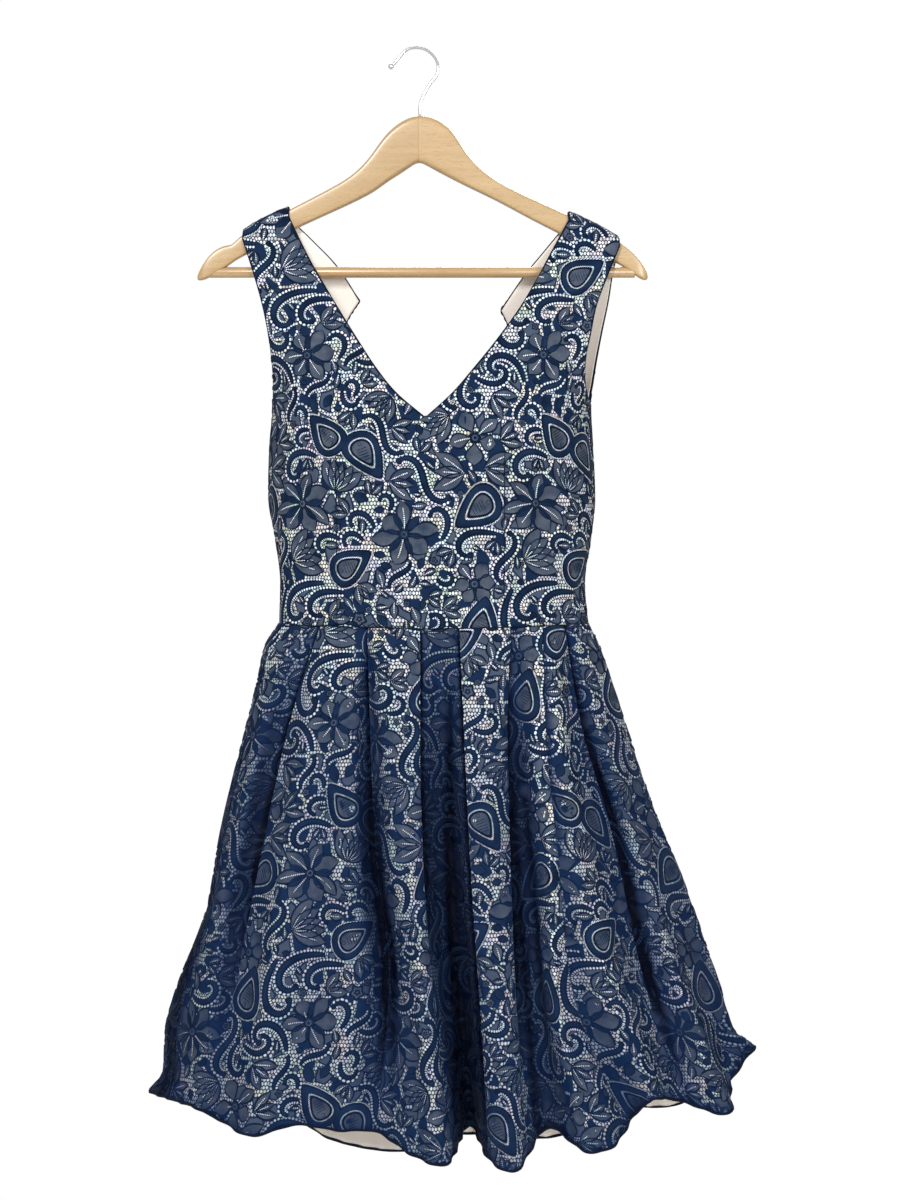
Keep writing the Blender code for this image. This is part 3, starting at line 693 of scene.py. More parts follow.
def creased(grid, outward, creases):
    """Moves a grid's points along their normals by the soft creases that run over it."""
    x, height = grid[..., 0], grid[..., 2]
    moved = np.zeros(x.shape)
    for x0, h0, x1, h1, depth, half in zip(*creases.values()):
        length = math.hypot(x1 - x0, h1 - h0)
        along = ((x - x0) * (x1 - x0) + (height - h0) * (h1 - h0)) / length**2
        bow = CREASE_BOW * length * np.sin(math.pi * np.clip(along, 0, 1))
        off = ((x - x0) * (h1 - h0) - (height - h0) * (x1 - x0)) / length - bow
        fade = np.clip(CREASE_LONG - np.abs(2 * along - 1), 0, 1)
        moved += depth * np.exp(-((off / half) ** 2)) * fade**CREASE_FADE
    above_waist = np.clip((height - WAIST_MIDDLE - WAIST_CLEAR) / WAIST_FADE, 0, 1)
    sides = np.clip(np.abs(grid[..., 1]) / SIDE_FADE, 0, 1)
    return grid + (moved * above_waist * sides)[..., None] * grid_normals(grid, outward)


def cloth(name, grids, flats, outward, wall, outside, inside, fold_shade=None):
    """One cloth panel: grids of its outer points with their flat places, thickened away from outward."""
    work = bmesh.new()
    mapped = work.loops.layers.uv.new("cloth")
    # Each point keeps the painted fold shade, by which the materials darken their colour.
    deep = work.verts.layers.float.new("painted_shade")
    for grid, flat in zip(grids, flats):
        rows = [[work.verts.new(point * MM) for point in row] for row in grid]
        if fold_shade is not None:
            for r, c in np.ndindex(fold_shade.shape):
                rows[r][c][deep] = fold_shade[r, c]
        for i, j in np.ndindex(len(rows) - 1, len(rows[0]) - 1):
            corners = ((i, j), (i, j + 1), (i + 1, j + 1), (i + 1, j))
            face = work.faces.new([rows[r][c] for r, c in corners])
            for loop, (r, c) in zip(face.loops, corners):
                loop[mapped].uv = flat[r, c] * MM
    bmesh.ops.remove_doubles(work, verts=work.verts, dist=MERGED * MM)
    bmesh.ops.recalc_face_normals(work, faces=work.faces)
    if sum(face.normal.dot(outward) * face.calc_area() for face in work.faces) < 0:
        bmesh.ops.reverse_faces(work, faces=work.faces)
    piece = mesh_piece(name, work)
    piece.data.set_sharp_from_angle(angle=CLOTH_SHARP)
    for material in (outside, inside):
        piece.data.materials.append(material)
    thicken = piece.modifiers.new("wall", "SOLIDIFY")
    thicken.thickness = wall * MM
    thicken.offset = -1
    thicken.material_offset = 1
    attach(piece, "dress")
    return piece


def with_painted_shade(look, colour, sunk):
    """The colour where the cloth turns away into a fold, from the painted fold shade: as its holes close up
    it goes first to a painted side tone, and then to the painted dark deep inside.
    """
    power, turned, darkest = sunk
    depth = look.node("Attribute", attribute_name="painted_shade")["Fac"]
    light = look.maths("SUBTRACT", 1.0, depth, use_clamp=True)
    side = look.mix(look.maths("POWER", light, power), turned, colour)
    return look.mix(look.ramp(light, *LIGHT_FAILS), darkest, side)


def seen_through(look, colour, place):
    """The lining behind small holes: brighter or duller from one to the next, tinted by patches."""
    bright = look.ramp(look.noise(place, 230.0, 0.0), 0.3, 0.66, 0.55, 1.12)
    hue = look.noise(place, 48.0, 1.0, "Color")
    tint = look.vector("MULTIPLY_ADD", hue, (0.7, 0.3, 0.7), (0.64, 0.83, 0.63))
    shown = look.node("VectorMath", {0: tint, "Scale": bright}, operation="SCALE")[0]
    return look.mix(1.0, colour, shown, "MULTIPLY")


def net_over_lining():
    """Navy lace ground: open net, close work and sheer filling in patches, each edged by a row of holes."""
    look = finish("navy net over lining", 0.75, Specular_IOR_Level=0.04)
    place = look.map_of("cloth")
    wobble = look.vector("MULTIPLY", look.noise(place, 130.0, 1.0, "Color"), (0.0014,) * 3)
    pulled = look.vector("ADD", place, wobble)
    pitch = (NET_WIDE * MM, NET_TALL * MM, 1)
    distances = []
    for offset in (0.0, 0.5):
        moved = look.vector("ADD", look.vector("DIVIDE", pulled, pitch), (offset, offset, 0))
        centred = look.vector("SUBTRACT", look.vector("FRACTION", moved), (0.5, 0.5, 0))
        round_hole = look.vector("MULTIPLY", look.vector("MULTIPLY", centred, pitch), (1, 1 / HOLE_TALL, 0))
        distances.append(look.vector("LENGTH", round_hole))
    nearest = look.maths("MINIMUM", *distances)
    rim_from, rim_to = (HOLE - HOLE_SHARP) * MM, (HOLE + HOLE_SOFT) * MM
    gap = look.maths("SUBTRACT", 1.0, look.ramp(nearest, rim_from, rim_to, interpolation_type="SMOOTHSTEP"))

    sway = look.vector("MULTIPLY", look.noise(place, 34.0, 1.0, "Color"), (0.016,) * 3)
    works = {"Vector": look.vector("ADD", place, sway), "Scale": WORK_SCALE, "Randomness": 0.95}
    rim = look.node("TexVoronoi", works, voronoi_dimensions="2D", feature="DISTANCE_TO_EDGE")["Distance"]
    patch_tint = look.node("TexVoronoi", works, voronoi_dimensions="2D")["Color"]
    kind = look.node("SeparateColor", {0: patch_tint})[0]
    open_net = look.maths("LESS_THAN", kind, OPEN_BELOW)
    pierced = look.maths("MAXIMUM", look.ramp(rim, 0.09, 0.12, 1, 0), open_net)
    hole = look.maths("MULTIPLY", gap, pierced)
    filled = look.maths("GREATER_THAN", kind, SHEER_ABOVE)
    sheer = look.maths("MULTIPLY", filled, look.ramp(rim, 0.19, 0.22))

    patchy = look.noise(place, 60.0, 4.0)
    navy = look.mix(patchy, (0.003, 0.010, 0.031), (0.011, 0.029, 0.078))
    grey = look.mix(patchy, (0.026, 0.044, 0.084), (0.092, 0.114, 0.150))
    lining = look.mix(patchy, (0.84, 0.87, 0.84), (0.64, 0.68, 0.67))
    # The navy work and the lining seen through the holes are both darkened by the painted fold shade.
    worked = with_painted_shade(look, look.mix(sheer, navy, grey), NAVY_PAINTED_SHADE)
    lining = with_painted_shade(look, seen_through(look, lining, place), LINING_PAINTED_SHADE)
    look.put(Base_Color=look.mix(hole, worked, lining))
    look.bump(look.maths("MAXIMUM", hole, sheer), 0.6, 0.0005, invert=True)
    return look.owner


def satin(name, light, shade):
    """Champagne lining satin: a fine weave, long threads down the cloth and a soft sheen."""
    look = finish(name, 0.48, Sheen_Weight=0.15, Sheen_Roughness=0.4)
    place = look.place()
    look.put(Base_Color=look.mix(look.noise(place, 24.0, 3.0), light, shade))
    look.bump(look.noise(look.mapping(place, (2600, 2600, 160)), 1.0, 2.0), 0.25, 0.0002)
    return look.owner


net = net_over_lining()
lining_satin = satin("champagne lining satin", (0.85, 0.79, 0.725), (0.765, 0.70, 0.635))

halves = [half_bodice(side, "front") for side in SIDES]
front_grids = [creased(grid, FORWARD, FRONT_CREASES) for grid, flat in halves]
front_flats = [flat for grid, flat in halves]
front_grids[1][: BODICE_TUBE_ROWS + 1, 0] = front_grids[0][: BODICE_TUBE_ROWS + 1, 0]
bodice_front = cloth("bodice_front_cloth", front_grids, front_flats, FORWARD, LACE_WALL, net, lining_satin)
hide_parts("bodice_front")

# What the lacework is laid on later: grids, their flat places, the way they face and their painted fold
# shade, which is none on the bodice.
panels = {
    "bodice_front": [
        (grid, flat, FORWARD, np.zeros(grid.shape[:2])) for grid, flat in zip(front_grids, front_flats)
    ]
}


# ---------------------------------------------------------------- bodice back
# Two halves, each with its strap, half of the keyhole and the loose nape corner. They meet at the
# centre back seam, which the concealed zip closes up to the keyhole.

SEAM_GAP = 0.3  # between two panels at a seam
KEYHOLE = table(
    "left_x left_height right_x right_height",
    (5, -388, 7, -388),
    (-14, -375, 26, -377),
    (-40, -352, 58, -354),
    (-66, -320, 88, -322),
    (-76, -291, 96, -293),
    (-72, -267, 91, -272),
    (-59, -246, 83, -255),
)
NAPE = table(
    "left_x left_height right_x right_height",
    (-59, -246, 83, -255),
    (-80, -214, 105, -223),
    (-104, -189, 124, -200),
    (-128, -166, 149, -170),
)
BACK_ARMHOLE = table(
    "left_x left_height right_x right_height",
    (-143, -352, 170, -352),
    (-142, -330, 173, -330),
    (-142, -305, 177, -305),
    (-145, -278, 182, -278),
    (-151, -250, 188, -248),
    (-164, -214, 192, -222),
    (-172, -188, 198, -195),
)
BACK_CREASES = table(
    "x height to_x to_height depth half_width",
    (-120, -372, -84, -470, -1.8, 7),
    (-108, -380, -70, -470, 1.3, 7),
    (132, -372, 100, -476, -1.6, 8),
    (118, -384, 84, -472, 1.2, 7),
    (-96, -470, -104, -562, -1.3, 8),
    (118, -460, 124, -562, -1.3, 9),
    (-44, -430, -30, -560, 1.0, 9),
    (58, -440, 46, -560, -1.1, 9),
    (-128, -500, -70, -536, -1.0, 7),
    (70, -512, 140, -540, -1.1, 8),
    (-22, -398, -50, -420, -0.9, 6),
    (34, -400, 66, -424, -0.9, 6),
    (-120, -210, -112, -300, -0.9, 8),
    (150, -214, 140, -306, 0.9, 8),
)

sheets, back_grids, back_flats = {"bodice_front": bodice_front}, {}, {}
for side in SIDES:
    name = "bodice_back_" + side
    grid, flat = half_bodice(side, "back", centre_gap=SEAM_GAP / 2)
    grid = creased(grid, BACKWARD, BACK_CREASES)
    back_grids[side], back_flats[side] = grid, flat
    piece = cloth(name + "_cloth", [grid], [flat], BACKWARD, LACE_WALL, net, lining_satin)
    sheets[name] = piece
    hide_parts(name)
    panels[name] = [(grid, flat, BACKWARD, np.zeros(grid.shape[:2]))]


# ---------------------------------------------------------------- bodice back linings
# Each back half has its own lining of champagne satin inside, level with the lace at the edges. It
# shows through the V of the front and along the armholes.

LINING_WALL = 1.0
LINING_IN = LACE_WALL + SEAM_GAP


def lining_of(name, grid, flat):
    """A layer of lining satin with the given outer points."""
    piece = cloth(name + "_satin", [grid], [flat], BACKWARD, LINING_WALL, lining_satin, lining_satin)
    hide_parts(name)
    sheets[name] = piece


for side, grid in back_grids.items():
    inner = grid - LINING_IN * grid_normals(grid, BACKWARD)
    lining_of("bodice_lining_" + side, inner[:-1], back_flats[side][:-1])


# ---------------------------------------------------------------- skirt
# Three panels of the same lace on its lining, pleated to the waist. The pleats are pressed sharp for
# a hand's width below the seam and then open into hanging folds. The hem is left almost uneven.

SEAM_DROP = 0.6  # how far below the waist seam the skirt starts
SKIRT_EDGE = 0.45  # how far a panel's edge stays from the seam line
STATIONS = np.array([0, 0.2, 0.45, 0.7, 1.0])  # shares of the way down where the folds are given
SKIRT_ROWS = 112
FRONT_STEPS = 12
BACK_STEPS = 20
PLEAT_HALF = 0.02  # half the width of a pleat's step, as a share of the way to the next fold
PLEAT_RAISE, PLEAT_SINK = 2.4, 1.7
PLEAT_RAISE_REACH, PLEAT_SINK_REACH = 17.0, 10.0
PLEAT_OVERHANG, PLEAT_OVERHANG_REACH = 0.9, 3.0
EDGE_PROBE = 0.02  # a short way round the skirt, to measure how far a place is from a panel's edge
PLEAT_EASE = 0.9  # how evenly a pleat opens out on its way down
PLEAT_AT_SEAM, PLEAT_GROWS = 0.55, 0.05  # its share at the waist seam, and how soon it is whole
CREASE_EASE, SHADE_EASE = 0.7, 0.5  # how soon creases and shades reach their strength
FAR_OFF = 999.0
SEAM_FADE = 10.0  # pleats and creases die out over this length beside a seam
FLAT_GAP = 0.5  # between two parts of a pleated panel laid flat
SKIRT_MIDDLE = 16.0  # the x of the skirt's middle at the waist; at the hem it is twice as far
# Painted shade of the skirt, from 0 to 1, by which the materials darken their colour: the light that the
# folds keep from each point, a painted shade lower down and at the hem, and painted dark lines under the
# pleats.
MOSTLY_OUT = 0.12  # how much of its way out a point's light takes along X
SHADE_REACH, FOLD_ROUND = 75.0, 1.2  # how far off a fold still keeps light from a point, and how softly
SHUT_SHADE, DARKEST = 1.16, 0.97
HANGING_SHADE, HANGING_FROM = 0.19, 0.3  # lower down, the lace hangs clear and shades its lining
HEM_SHADE, HEM_SHADE_TALL = 0.5, 7 / 480
PRESSED_BEYOND, PRESSED_FADE = 0.2, 0.3  # how far a pleat's shade runs on below it, and how it ends
PRESSED_AT_SEAM, PRESSED_GROWS = 0.5, 0.06
LINE_WIDE, LINE_WIDENS = 5, 4  # the dark line under a pleat, in mm at the waist and more at the hem
UNDER_SHADE, UNDER_WIDE, UNDER_WIDENS = 0.6, 9, 14  # the softer shade beside that line
OVER_LINE = 0.5  # how far the shade comes out from under the pleat
HEM_WAVE, HEM_WAVE_LONG, HEM_WAVE_TALL = 1.3, 23.0, 9.0
HEM_SWAY, HEM_SWAY_LONG = 0.35, 61.0  # the hem's waves come closer and further apart

OVAL = table(
    "share left right front back",
    (0, -137, 168, 57, 38),
    (0.05, -151, 178, 61, 41),
    (0.12, -158, 188, 66, 43),
    (0.2, -167, 199, 70, 45),
    (0.45, -195, 234, 84, 50),
    (0.6, -207, 260, 91, 53),
    (0.8, -241, 289, 99, 56),
    (0.87, -249, 299, 101, 57),
    (0.96, -251, 310, 104, 58),
    (1.0, -265, 332, 105, 58),
)
FRONT_FOLDS = {
    "a ridge": ((-122, -150, -176, -200, -216), (0, 2, 4, 5, 6), -1031),
    "1 valley": ((-94, -124, -150, -172, -190), (-2, -9, -7, -3, -2), -1043),
    "b ridge": ((-84, -106, -126, -142, -158), (3, 4, 6, 9, 12), -1054),
    "b hollow": ((-66, -80, -92, -104, -116), (2, 3, 3, 2, 0), -1044),
    "b edge": ((-54, -60, -62, -58, -74), (1, 4, 7, 8, 4), -1048),
    "2 valley": ((-47, -45, -40, -27, -38), (-2, -12, -15, -11, -3), -1050),
    "c left": ((-38, -30, -22, -8, -3), (3, 5, 9, 13, 16), -1069),
    "c right": ((-2, -2, 2, 12, 29), (3, 7, 12, 17, 25), -1075),
    "3 valley": ((20, 25, 31, 40, 50), (-3, -14, -22, -30, -36), -1049),
    "d left": ((41, 46, 52, 60, 69), (3, 8, 12, 12, 9), -1074),
    "d right": ((83, 78, 80, 84, 95), (3, 7, 12, 18, 26), -1081),
    "4 valley": ((93, 96, 105, 114, 125), (-2, -9, -12, -12, -18), -1049),
    "e left": ((112, 113, 124, 132, 160), (2, 4, 8, 11, 16), -1066),
    "e right": ((118, 120, 131, 142, 188), (2, 5, 9, 7, 11), -1062),
    "6 valley": ((123, 127, 139, 152, 207), (2, 6, 9, 3, -12), -1040),
    "f ridge": ((132, 138, 156, 180, 227), (3, 7, 10, 12, 3), -1021),
    "5 valley": ((141, 157, 190, 214, 253), (-3, -10, -15, -15, -14), -1026),
    "g ridge": ((152, 176, 212, 248, 300), (1, 4, 8, 11, 15), -1038),
    "side valley": ((163, 190, 225, 262, 307), (0, 0, -2, -6, -18), -1011),
}
BACK_FOLDS = {
    "h ridge": ((150, 178, 214, 250, 288), (1, 4, 8, 12, 14), -1034),
    "7 valley": ((128, 150, 178, 210, 250), (-2, -8, -12, -14, -16), -1046),
    "i ridge": ((104, 122, 142, 168, 202), (3, 6, 10, 14, 20), -1056),
    "8 valley": ((80, 92, 106, 122, 142), (-3, -9, -14, -18, -24), -1076),
    "j ridge": ((52, 58, 66, 76, 90), (3, 6, 10, 14, 20), -1086),
    "centre back": ((16, 20, 25, 31, 38), (-1, -4, -6, -8, -10), -1078),
    "k ridge": ((-20, -20, -20, -20, -18), (3, 7, 11, 15, 20), -1100),
    "9 valley": ((-48, -56, -64, -74, -86), (-3, -9, -14, -18, -24), -1080),
    "l ridge": ((-74, -90, -106, -122, -138), (3, 5, 9, 13, 18), -1054),
    "10 valley": ((-98, -120, -142, -164, -186), (-2, -7, -10, -12, -14), -1044),
    "m ridge": ((-120, -148, -174, -200, -228), (1, 4, 8, 12, 12), -1036),
}
LEFT_HEM, RIGHT_HEM = -1027, -983
RIGHT_PLACE = len(FRONT_FOLDS) + 1
CENTRE_BACK_PLACE = RIGHT_PLACE + 1 + list(BACK_FOLDS).index("centre back")
END_PLACE = RIGHT_PLACE + 1 + len(BACK_FOLDS)

# Pleat lines by their place round the skirt, the side that lies on top, how strong the step is, and the
# share of the way down where it has opened out.
PLEATS = table(
    "place on_top strength until",
    (0.45, 1, 0.8, 0.3),
    (2, 1, 0.9, 0.62),
    (6, 1, 1.0, 0.8),
    (8.15, -1, 0.9, 0.55),
    (10, 1, 1.2, 0.9),
    (11.35, -1, 1.0, 0.7),
    (14.6, -1, 0.5, 0.5),
    (17, -1, 1.2, 0.75),
    (22, 1, 0.9, 0.6),
    (24, 1, 1.0, 0.7),
    (28, -1, 1.0, 0.7),
    (30, -1, 0.9, 0.6),
)

# Soft creases between the folds: place at the top and at the bottom, shares where each starts and ends,
# depth and half-width in mm.
SKIRT_CREASES = table(
    "place to_place start end depth half_width",
    (1.2, 1.3, 0.03, 0.6, -2.0, 7),
    (0.8, 0.7, 0.35, 1.0, 2.2, 9),
    (3.4, 3.6, 0.02, 0.5, -1.6, 6),
    (3.1, 2.9, 0.4, 1.02, 2.4, 8),
    (4.5, 4.4, 0.1, 0.9, 1.6, 8),
    (5.3, 5.4, 0.05, 0.45, -1.3, 5),
    (7.4, 7.6, 0.02, 0.75, -1.7, 7),
    (7.0, 7.2, 0.5, 1.05, -2.6, 9),
    (8.7, 8.6, 0.3, 1.0, 2.4, 6),
    (9.4, 9.5, 0.25, 0.95, -2.0, 6),
    (10.5, 10.35, 0.04, 0.7, -1.4, 7),
    (10.7, 10.6, 0.45, 1.05, -2.8, 9),
    (12.6, 12.5, 0.3, 1.0, 2.2, 7),
    (13.4, 13.6, 0.5, 1.05, -2.4, 8),
    (15.5, 15.4, 0.35, 1.05, 2.6, 8),
    (16.4, 16.5, 0.04, 0.6, -1.6, 6),
    (17.6, 17.5, 0.1, 0.8, 1.8, 7),
    (18.4, 18.6, 0.3, 1.05, -2.6, 9),
    (20.6, 20.5, 0.1, 0.9, -2.0, 8),
    (21.5, 21.6, 0.3, 1.05, 2.0, 8),
    (22.6, 22.5, 0.05, 0.7, -1.8, 7),
    (23.4, 23.5, 0.4, 1.05, -2.2, 9),
    (24.5, 24.4, 0.2, 1.0, 2.0, 8),
    (25.3, 25.2, 0.05, 0.7, -1.6, 7),
    (26.6, 26.7, 0.3, 1.05, -2.2, 9),
    (27.5, 27.4, 0.05, 0.8, -1.7, 7),
    (28.6, 28.5, 0.2, 1.0, 2.0, 8),
    (29.3, 29.4, 0.4, 1.05, -2.2, 8),
    (30.6, 30.5, 0.1, 0.9, 1.8, 8),
    (31.5, 31.4, 0.3, 1.05, -2.0, 8),
)

# Painted shade on the sides of folds that turn away: place at the top and at the bottom, shares where each
# starts and ends, how dark it is and its half-width in mm. Below zero, it is painted light
# on a side that the light reaches.
SKIRT_SHADES = table(
    "place to_place start end dark half_width",
    (0.1, 0.5, 0.25, 1.5, 0.84, 25),
    (1.3, 1.6, 0.0, 0.95, 0.65, 12),
    (5.4, 5.5, 0.3, 0.75, 0.4, 9),
    (6.1, 6.3, 0.3, 0.95, 0.85, 8),
    (8.4, 8.5, 0.2, 1.4, 0.45, 12),
    (9.4, 8.5, 0.1, 0.95, 0.95, 7),
    (8.8, 8.84, 0.5, 1.6, 0.97, 9),
    (11.55, 11.7, 0.1, 1.1, 0.8, 7),
    (13.2, 13.2, -0.3, 0.8, -0.4, 14),
    (16.0, 16.2, -0.3, 0.8, -0.5, 10),
    (17.12, 17.25, -0.1, 1.05, 0.92, 6),
    (12.1, 12.3, 0.15, 0.8, 0.6, 6),
    (19.7, 19.6, 0.2, 1.5, 0.35, 15),
    (22.4, 22.3, 0.1, 1.0, 0.35, 11),
    (24.6, 24.5, 0.1, 1.0, 0.35, 11),
    (28.5, 28.6, 0.1, 1.0, 0.35, 11),
    (30.4, 30.5, 0.1, 1.0, 0.35, 11),
)


def skirt_ring(share):
    """The fold points round the skirt at a share of the way down, as (x, y, height) rows."""
    left, right, front, back = (smooth_read(OVAL["share"], OVAL[key], share) for key in list(OVAL)[1:])
    middle, half = (left + right) / 2, (right - left) / 2
    side_top = waist_height(1) - SEAM_DROP

    def on_fold(fold, facing, depth):
        x, out = (smooth_read(STATIONS, np.array(values, float), share) for values in fold[:2])
        turn = (x - middle) / half
        top = waist_height(turn) - SEAM_DROP
        return (x, facing * (depth * lens(turn) + out), top + (fold[2] - top) * share)

    ring = [(left, 0, side_top + (LEFT_HEM - side_top) * share)]
    ring += [on_fold(fold, -1, front) for fold in FRONT_FOLDS.values()]
    ring += [(right, 0, side_top + (RIGHT_HEM - side_top) * share)]
    ring += [on_fold(fold, 1, back) for fold in BACK_FOLDS.values()]
    return np.array(ring)


def ring_points(ring, places):
    """Points on the closed curve through the ring; whole numbers of places are the fold points."""
    first = np.floor(places).astype(int)
    four = [ring[(first + step) % len(ring)] for step in (-1, 0, 1, 2)]
    return catmull(*four, (places - first)[:, None])


SKIRT_SHARES = np.linspace(0, 1, SKIRT_ROWS + 1)
SKIRT_RINGS = [skirt_ring(share) for share in SKIRT_SHARES]


def marks_across(marks, share, places, arc, power):
    """What each of the marks that run down the cloth does to the points of one row."""
    for place, to_place, start, end, strength, half in zip(*marks.values()):
        along = (share - start) / (end - start)
        if 0 < along < 1:
            now = place + (to_place - place) * along
            off = arc - np.interp(now, places, arc, left=-FAR_OFF, right=FAR_OFF)
            yield strength * math.sin(math.pi * along) ** power * np.exp(-((off / half) ** 2))


def pleat_steps(places, arc, lines, share):
    """How far the pleats move the points of one row outwards, and along the row."""
    moved, slid = np.zeros(len(places)), np.zeros(len(places))
    for place, on_top, strength, until in zip(*PLEATS.values()):
        if place in lines and share < until:
            away = np.abs(arc - np.interp(place, places, arc))
            on_side = (places - place) * on_top > 0
            open_now = strength * (1 - share / until) ** PLEAT_EASE
            open_now *= min(1, PLEAT_AT_SEAM + share / PLEAT_GROWS)
            raised = PLEAT_RAISE * np.exp(-away / PLEAT_RAISE_REACH)
            sunk = PLEAT_SINK * np.exp(-away / PLEAT_SINK_REACH)
            moved += open_now * np.where(on_side, raised, -sunk)
            slid -= open_now * on_top * PLEAT_OVERHANG * on_side * np.exp(-away / PLEAT_OVERHANG_REACH)
    return moved, slid


def skirt_grid(start, end, steps):
    """Outer points of a panel with its pleats and creases, and the place of each column."""
    lines = [place for place in PLEATS["place"] if start < place < end]
    places = np.linspace(start, end, int(round((end - start) * steps)) + 1)
    for line in lines:
        places = places[np.abs(places - line) > 0.5 / steps]
        places = np.append(places, (line - PLEAT_HALF, line + PLEAT_HALF))
    places = np.sort(places)
    rows = []
    for share, ring in zip(SKIRT_SHARES, SKIRT_RINGS):
        first = ring_points(ring, np.array([start, start + EDGE_PROBE, end - EDGE_PROBE, end]))
        low = start + SKIRT_EDGE * EDGE_PROBE / np.linalg.norm(first[1] - first[0])
        high = end - SKIRT_EDGE * EDGE_PROBE / np.linalg.norm(first[3] - first[2])
        row = ring_points(ring, low + (places - start) * (high - low) / (end - start))
        arc = lengths(row[:, :2])
        ahead = unit(np.gradient(row[:, :2], axis=0))
        out = np.column_stack([ahead[:, 1], -ahead[:, 0]])
        moved, slid = pleat_steps(places, arc, lines, share)
        moved += sum(marks_across(SKIRT_CREASES, share, places, arc, CREASE_EASE))
        from_hem = (1 - share) * (row[:, 2].mean() - WAIST_MIDDLE) / -share if share else FAR_OFF
        ripple = np.sin(2 * math.pi * (arc / HEM_WAVE_LONG + HEM_SWAY * np.sin(arc / HEM_SWAY_LONG)))
        moved += HEM_WAVE * ripple * math.exp(-abs(from_hem) / HEM_WAVE_TALL)
        ends = np.clip(np.minimum(arc, arc[-1] - arc) / SEAM_FADE, 0, 1)
        row[:, :2] += out * (moved * ends)[:, None] + ahead * (slid * ends)[:, None]
        rows.append(row)
    return np.array(rows), places


def pleat_regions(grid, places):
    """The panel's parts between its pleats, laid out flat with the hidden cloth between them."""
    lines = [place for place in PLEATS["place"] if places[0] < place < places[-1]]
    bounds = [places[0] - 1, *lines, places[-1] + 1]
    arc = np.array([lengths(row[:, :2]) for row in grid])
    parts, right_edge = [], 0.0
    for low, high in zip(bounds, bounds[1:]):
        columns = np.flatnonzero((places > low) & (places < high))
        own = arc[:, columns] - arc[:, columns].mean(axis=1)[:, None]
        u = own + right_edge - own[-1, 0]
        right_edge = u[-1, -1] + FLAT_GAP
        parts.append((columns, np.dstack([u, grid[:, columns, 2]])))
    return parts


def painted_fold_shade(grid, places):
    """Painted shade: how much of the light from outside the folds and pleats keep from each point, from 0 to
    1, with the painted shade bands and the painted dark lines under the pleats.
    """
    depths = []
    for share, row in zip(SKIRT_SHARES, grid):
        plan = row[:, :2]
        away = unit((plan - (SKIRT_MIDDLE * (1 + share), 0.0)) * (MOSTLY_OUT, 1.0))
        to = plan[None] - plan[:, None]
        out = (to * away[:, None]).sum(axis=2)
        aside = to[..., 0] * -away[:, None, 1] + to[..., 1] * away[:, None, 0]
        rise = np.where(np.abs(aside) < SHADE_REACH, np.arctan2(out, np.abs(aside) + FOLD_ROUND), -1)
        shut = sum(np.where(side, rise, -1).max(axis=1).clip(0) for side in (aside > 0, aside < 0))
        lit = 1 - np.clip(SHUT_SHADE * shut / math.pi, 0, DARKEST)
        lit *= 1 - HANGING_SHADE * min(1, share / HANGING_FROM)
        lit *= 1 - HEM_SHADE * math.exp(-(((1 - share) / HEM_SHADE_TALL) ** 2))
        arc = lengths(plan)
        for shade in marks_across(SKIRT_SHADES, share, places, arc, SHADE_EASE):
            lit *= 1 - shade
        for place, on_top, strength, until in zip(*PLEATS.values()):
            if places[0] < place < places[-1]:
                under = (np.interp(place, places, arc) - arc) * on_top
                pressed = np.clip((until + PRESSED_BEYOND - share) / PRESSED_FADE, 0, 1)
                pressed *= min(1, PRESSED_AT_SEAM + share / PRESSED_GROWS)
                pressed *= min(1, strength)
                line_wide, side_wide = LINE_WIDE + LINE_WIDENS * share, UNDER_WIDE + UNDER_WIDENS * share
                line = 1 - DARKEST * pressed * np.exp(-((under / line_wide) ** 4))
                side = 1 - UNDER_SHADE * pressed * np.exp(-under / side_wide)
                lit = lit * np.where(under > -OVER_LINE, line * side, 1)
        depths.append(1 - lit)
    return np.array(depths)


skirt_grids = {}
for name, start, end, steps, outward in (
    ("skirt_front", 0, RIGHT_PLACE, FRONT_STEPS, FORWARD),
    ("skirt_back_right", RIGHT_PLACE, CENTRE_BACK_PLACE, BACK_STEPS, BACKWARD),
    ("skirt_back_left", CENTRE_BACK_PLACE, END_PLACE, BACK_STEPS, BACKWARD),
):
    grid, places = skirt_grid(start, end, steps)
    parts = pleat_regions(grid, places)
    flat = np.dstack([np.zeros(grid.shape[:2]), grid[..., 2]])
    for columns, part in parts:
        flat[:, columns] = part
    # The painted shade, by which the materials darken the cloth's and the lace's colour.
    fold_shade = painted_fold_shade(grid, places)
    piece = cloth(name + "_cloth", [grid], [flat], outward, LACE_WALL, net, lining_satin, fold_shade)
    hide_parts(name)
    sheets[name], skirt_grids[name] = piece, grid
    panels[name] = [(grid[:, columns], part, outward, fold_shade[:, columns]) for columns, part in parts]


# ---------------------------------------------------------------- skirt linings
# Inside each back panel hangs its own band of champagne satin, whose rolled edge shows below the
# shorter front.

LINING_FROM_SHARE = 0.66
LINING_SHORT = 6  # columns by which the band stops short of the seams
lining_bands = {}
for side in SIDES[::-1]:
    grid = skirt_grids["skirt_back_" + side]
    inner = grid - LINING_IN * grid_normals(grid, BACKWARD)
    band = inner[SKIRT_SHARES > LINING_FROM_SHARE, LINING_SHORT:-LINING_SHORT]
    lining_of("skirt_lining_" + side, band, np.dstack([band[..., 0], band[..., 2]]))
    lining_bands[side] = band


# ---------------------------------------------------------------- lacework of one repeat
# The cloth's design is embroidered on the net in repeats: flowers with sheer petals, curled drops,
# scrolling bands with a row of small holes along either side, leaves and blossoms, all outlined by a
# raised cord. One repeat is drawn flat here, in mm, and laid on each panel in the next section. In the
# functions that draw a motif, plain numbers are shares of its own size, angles, powers or counts.

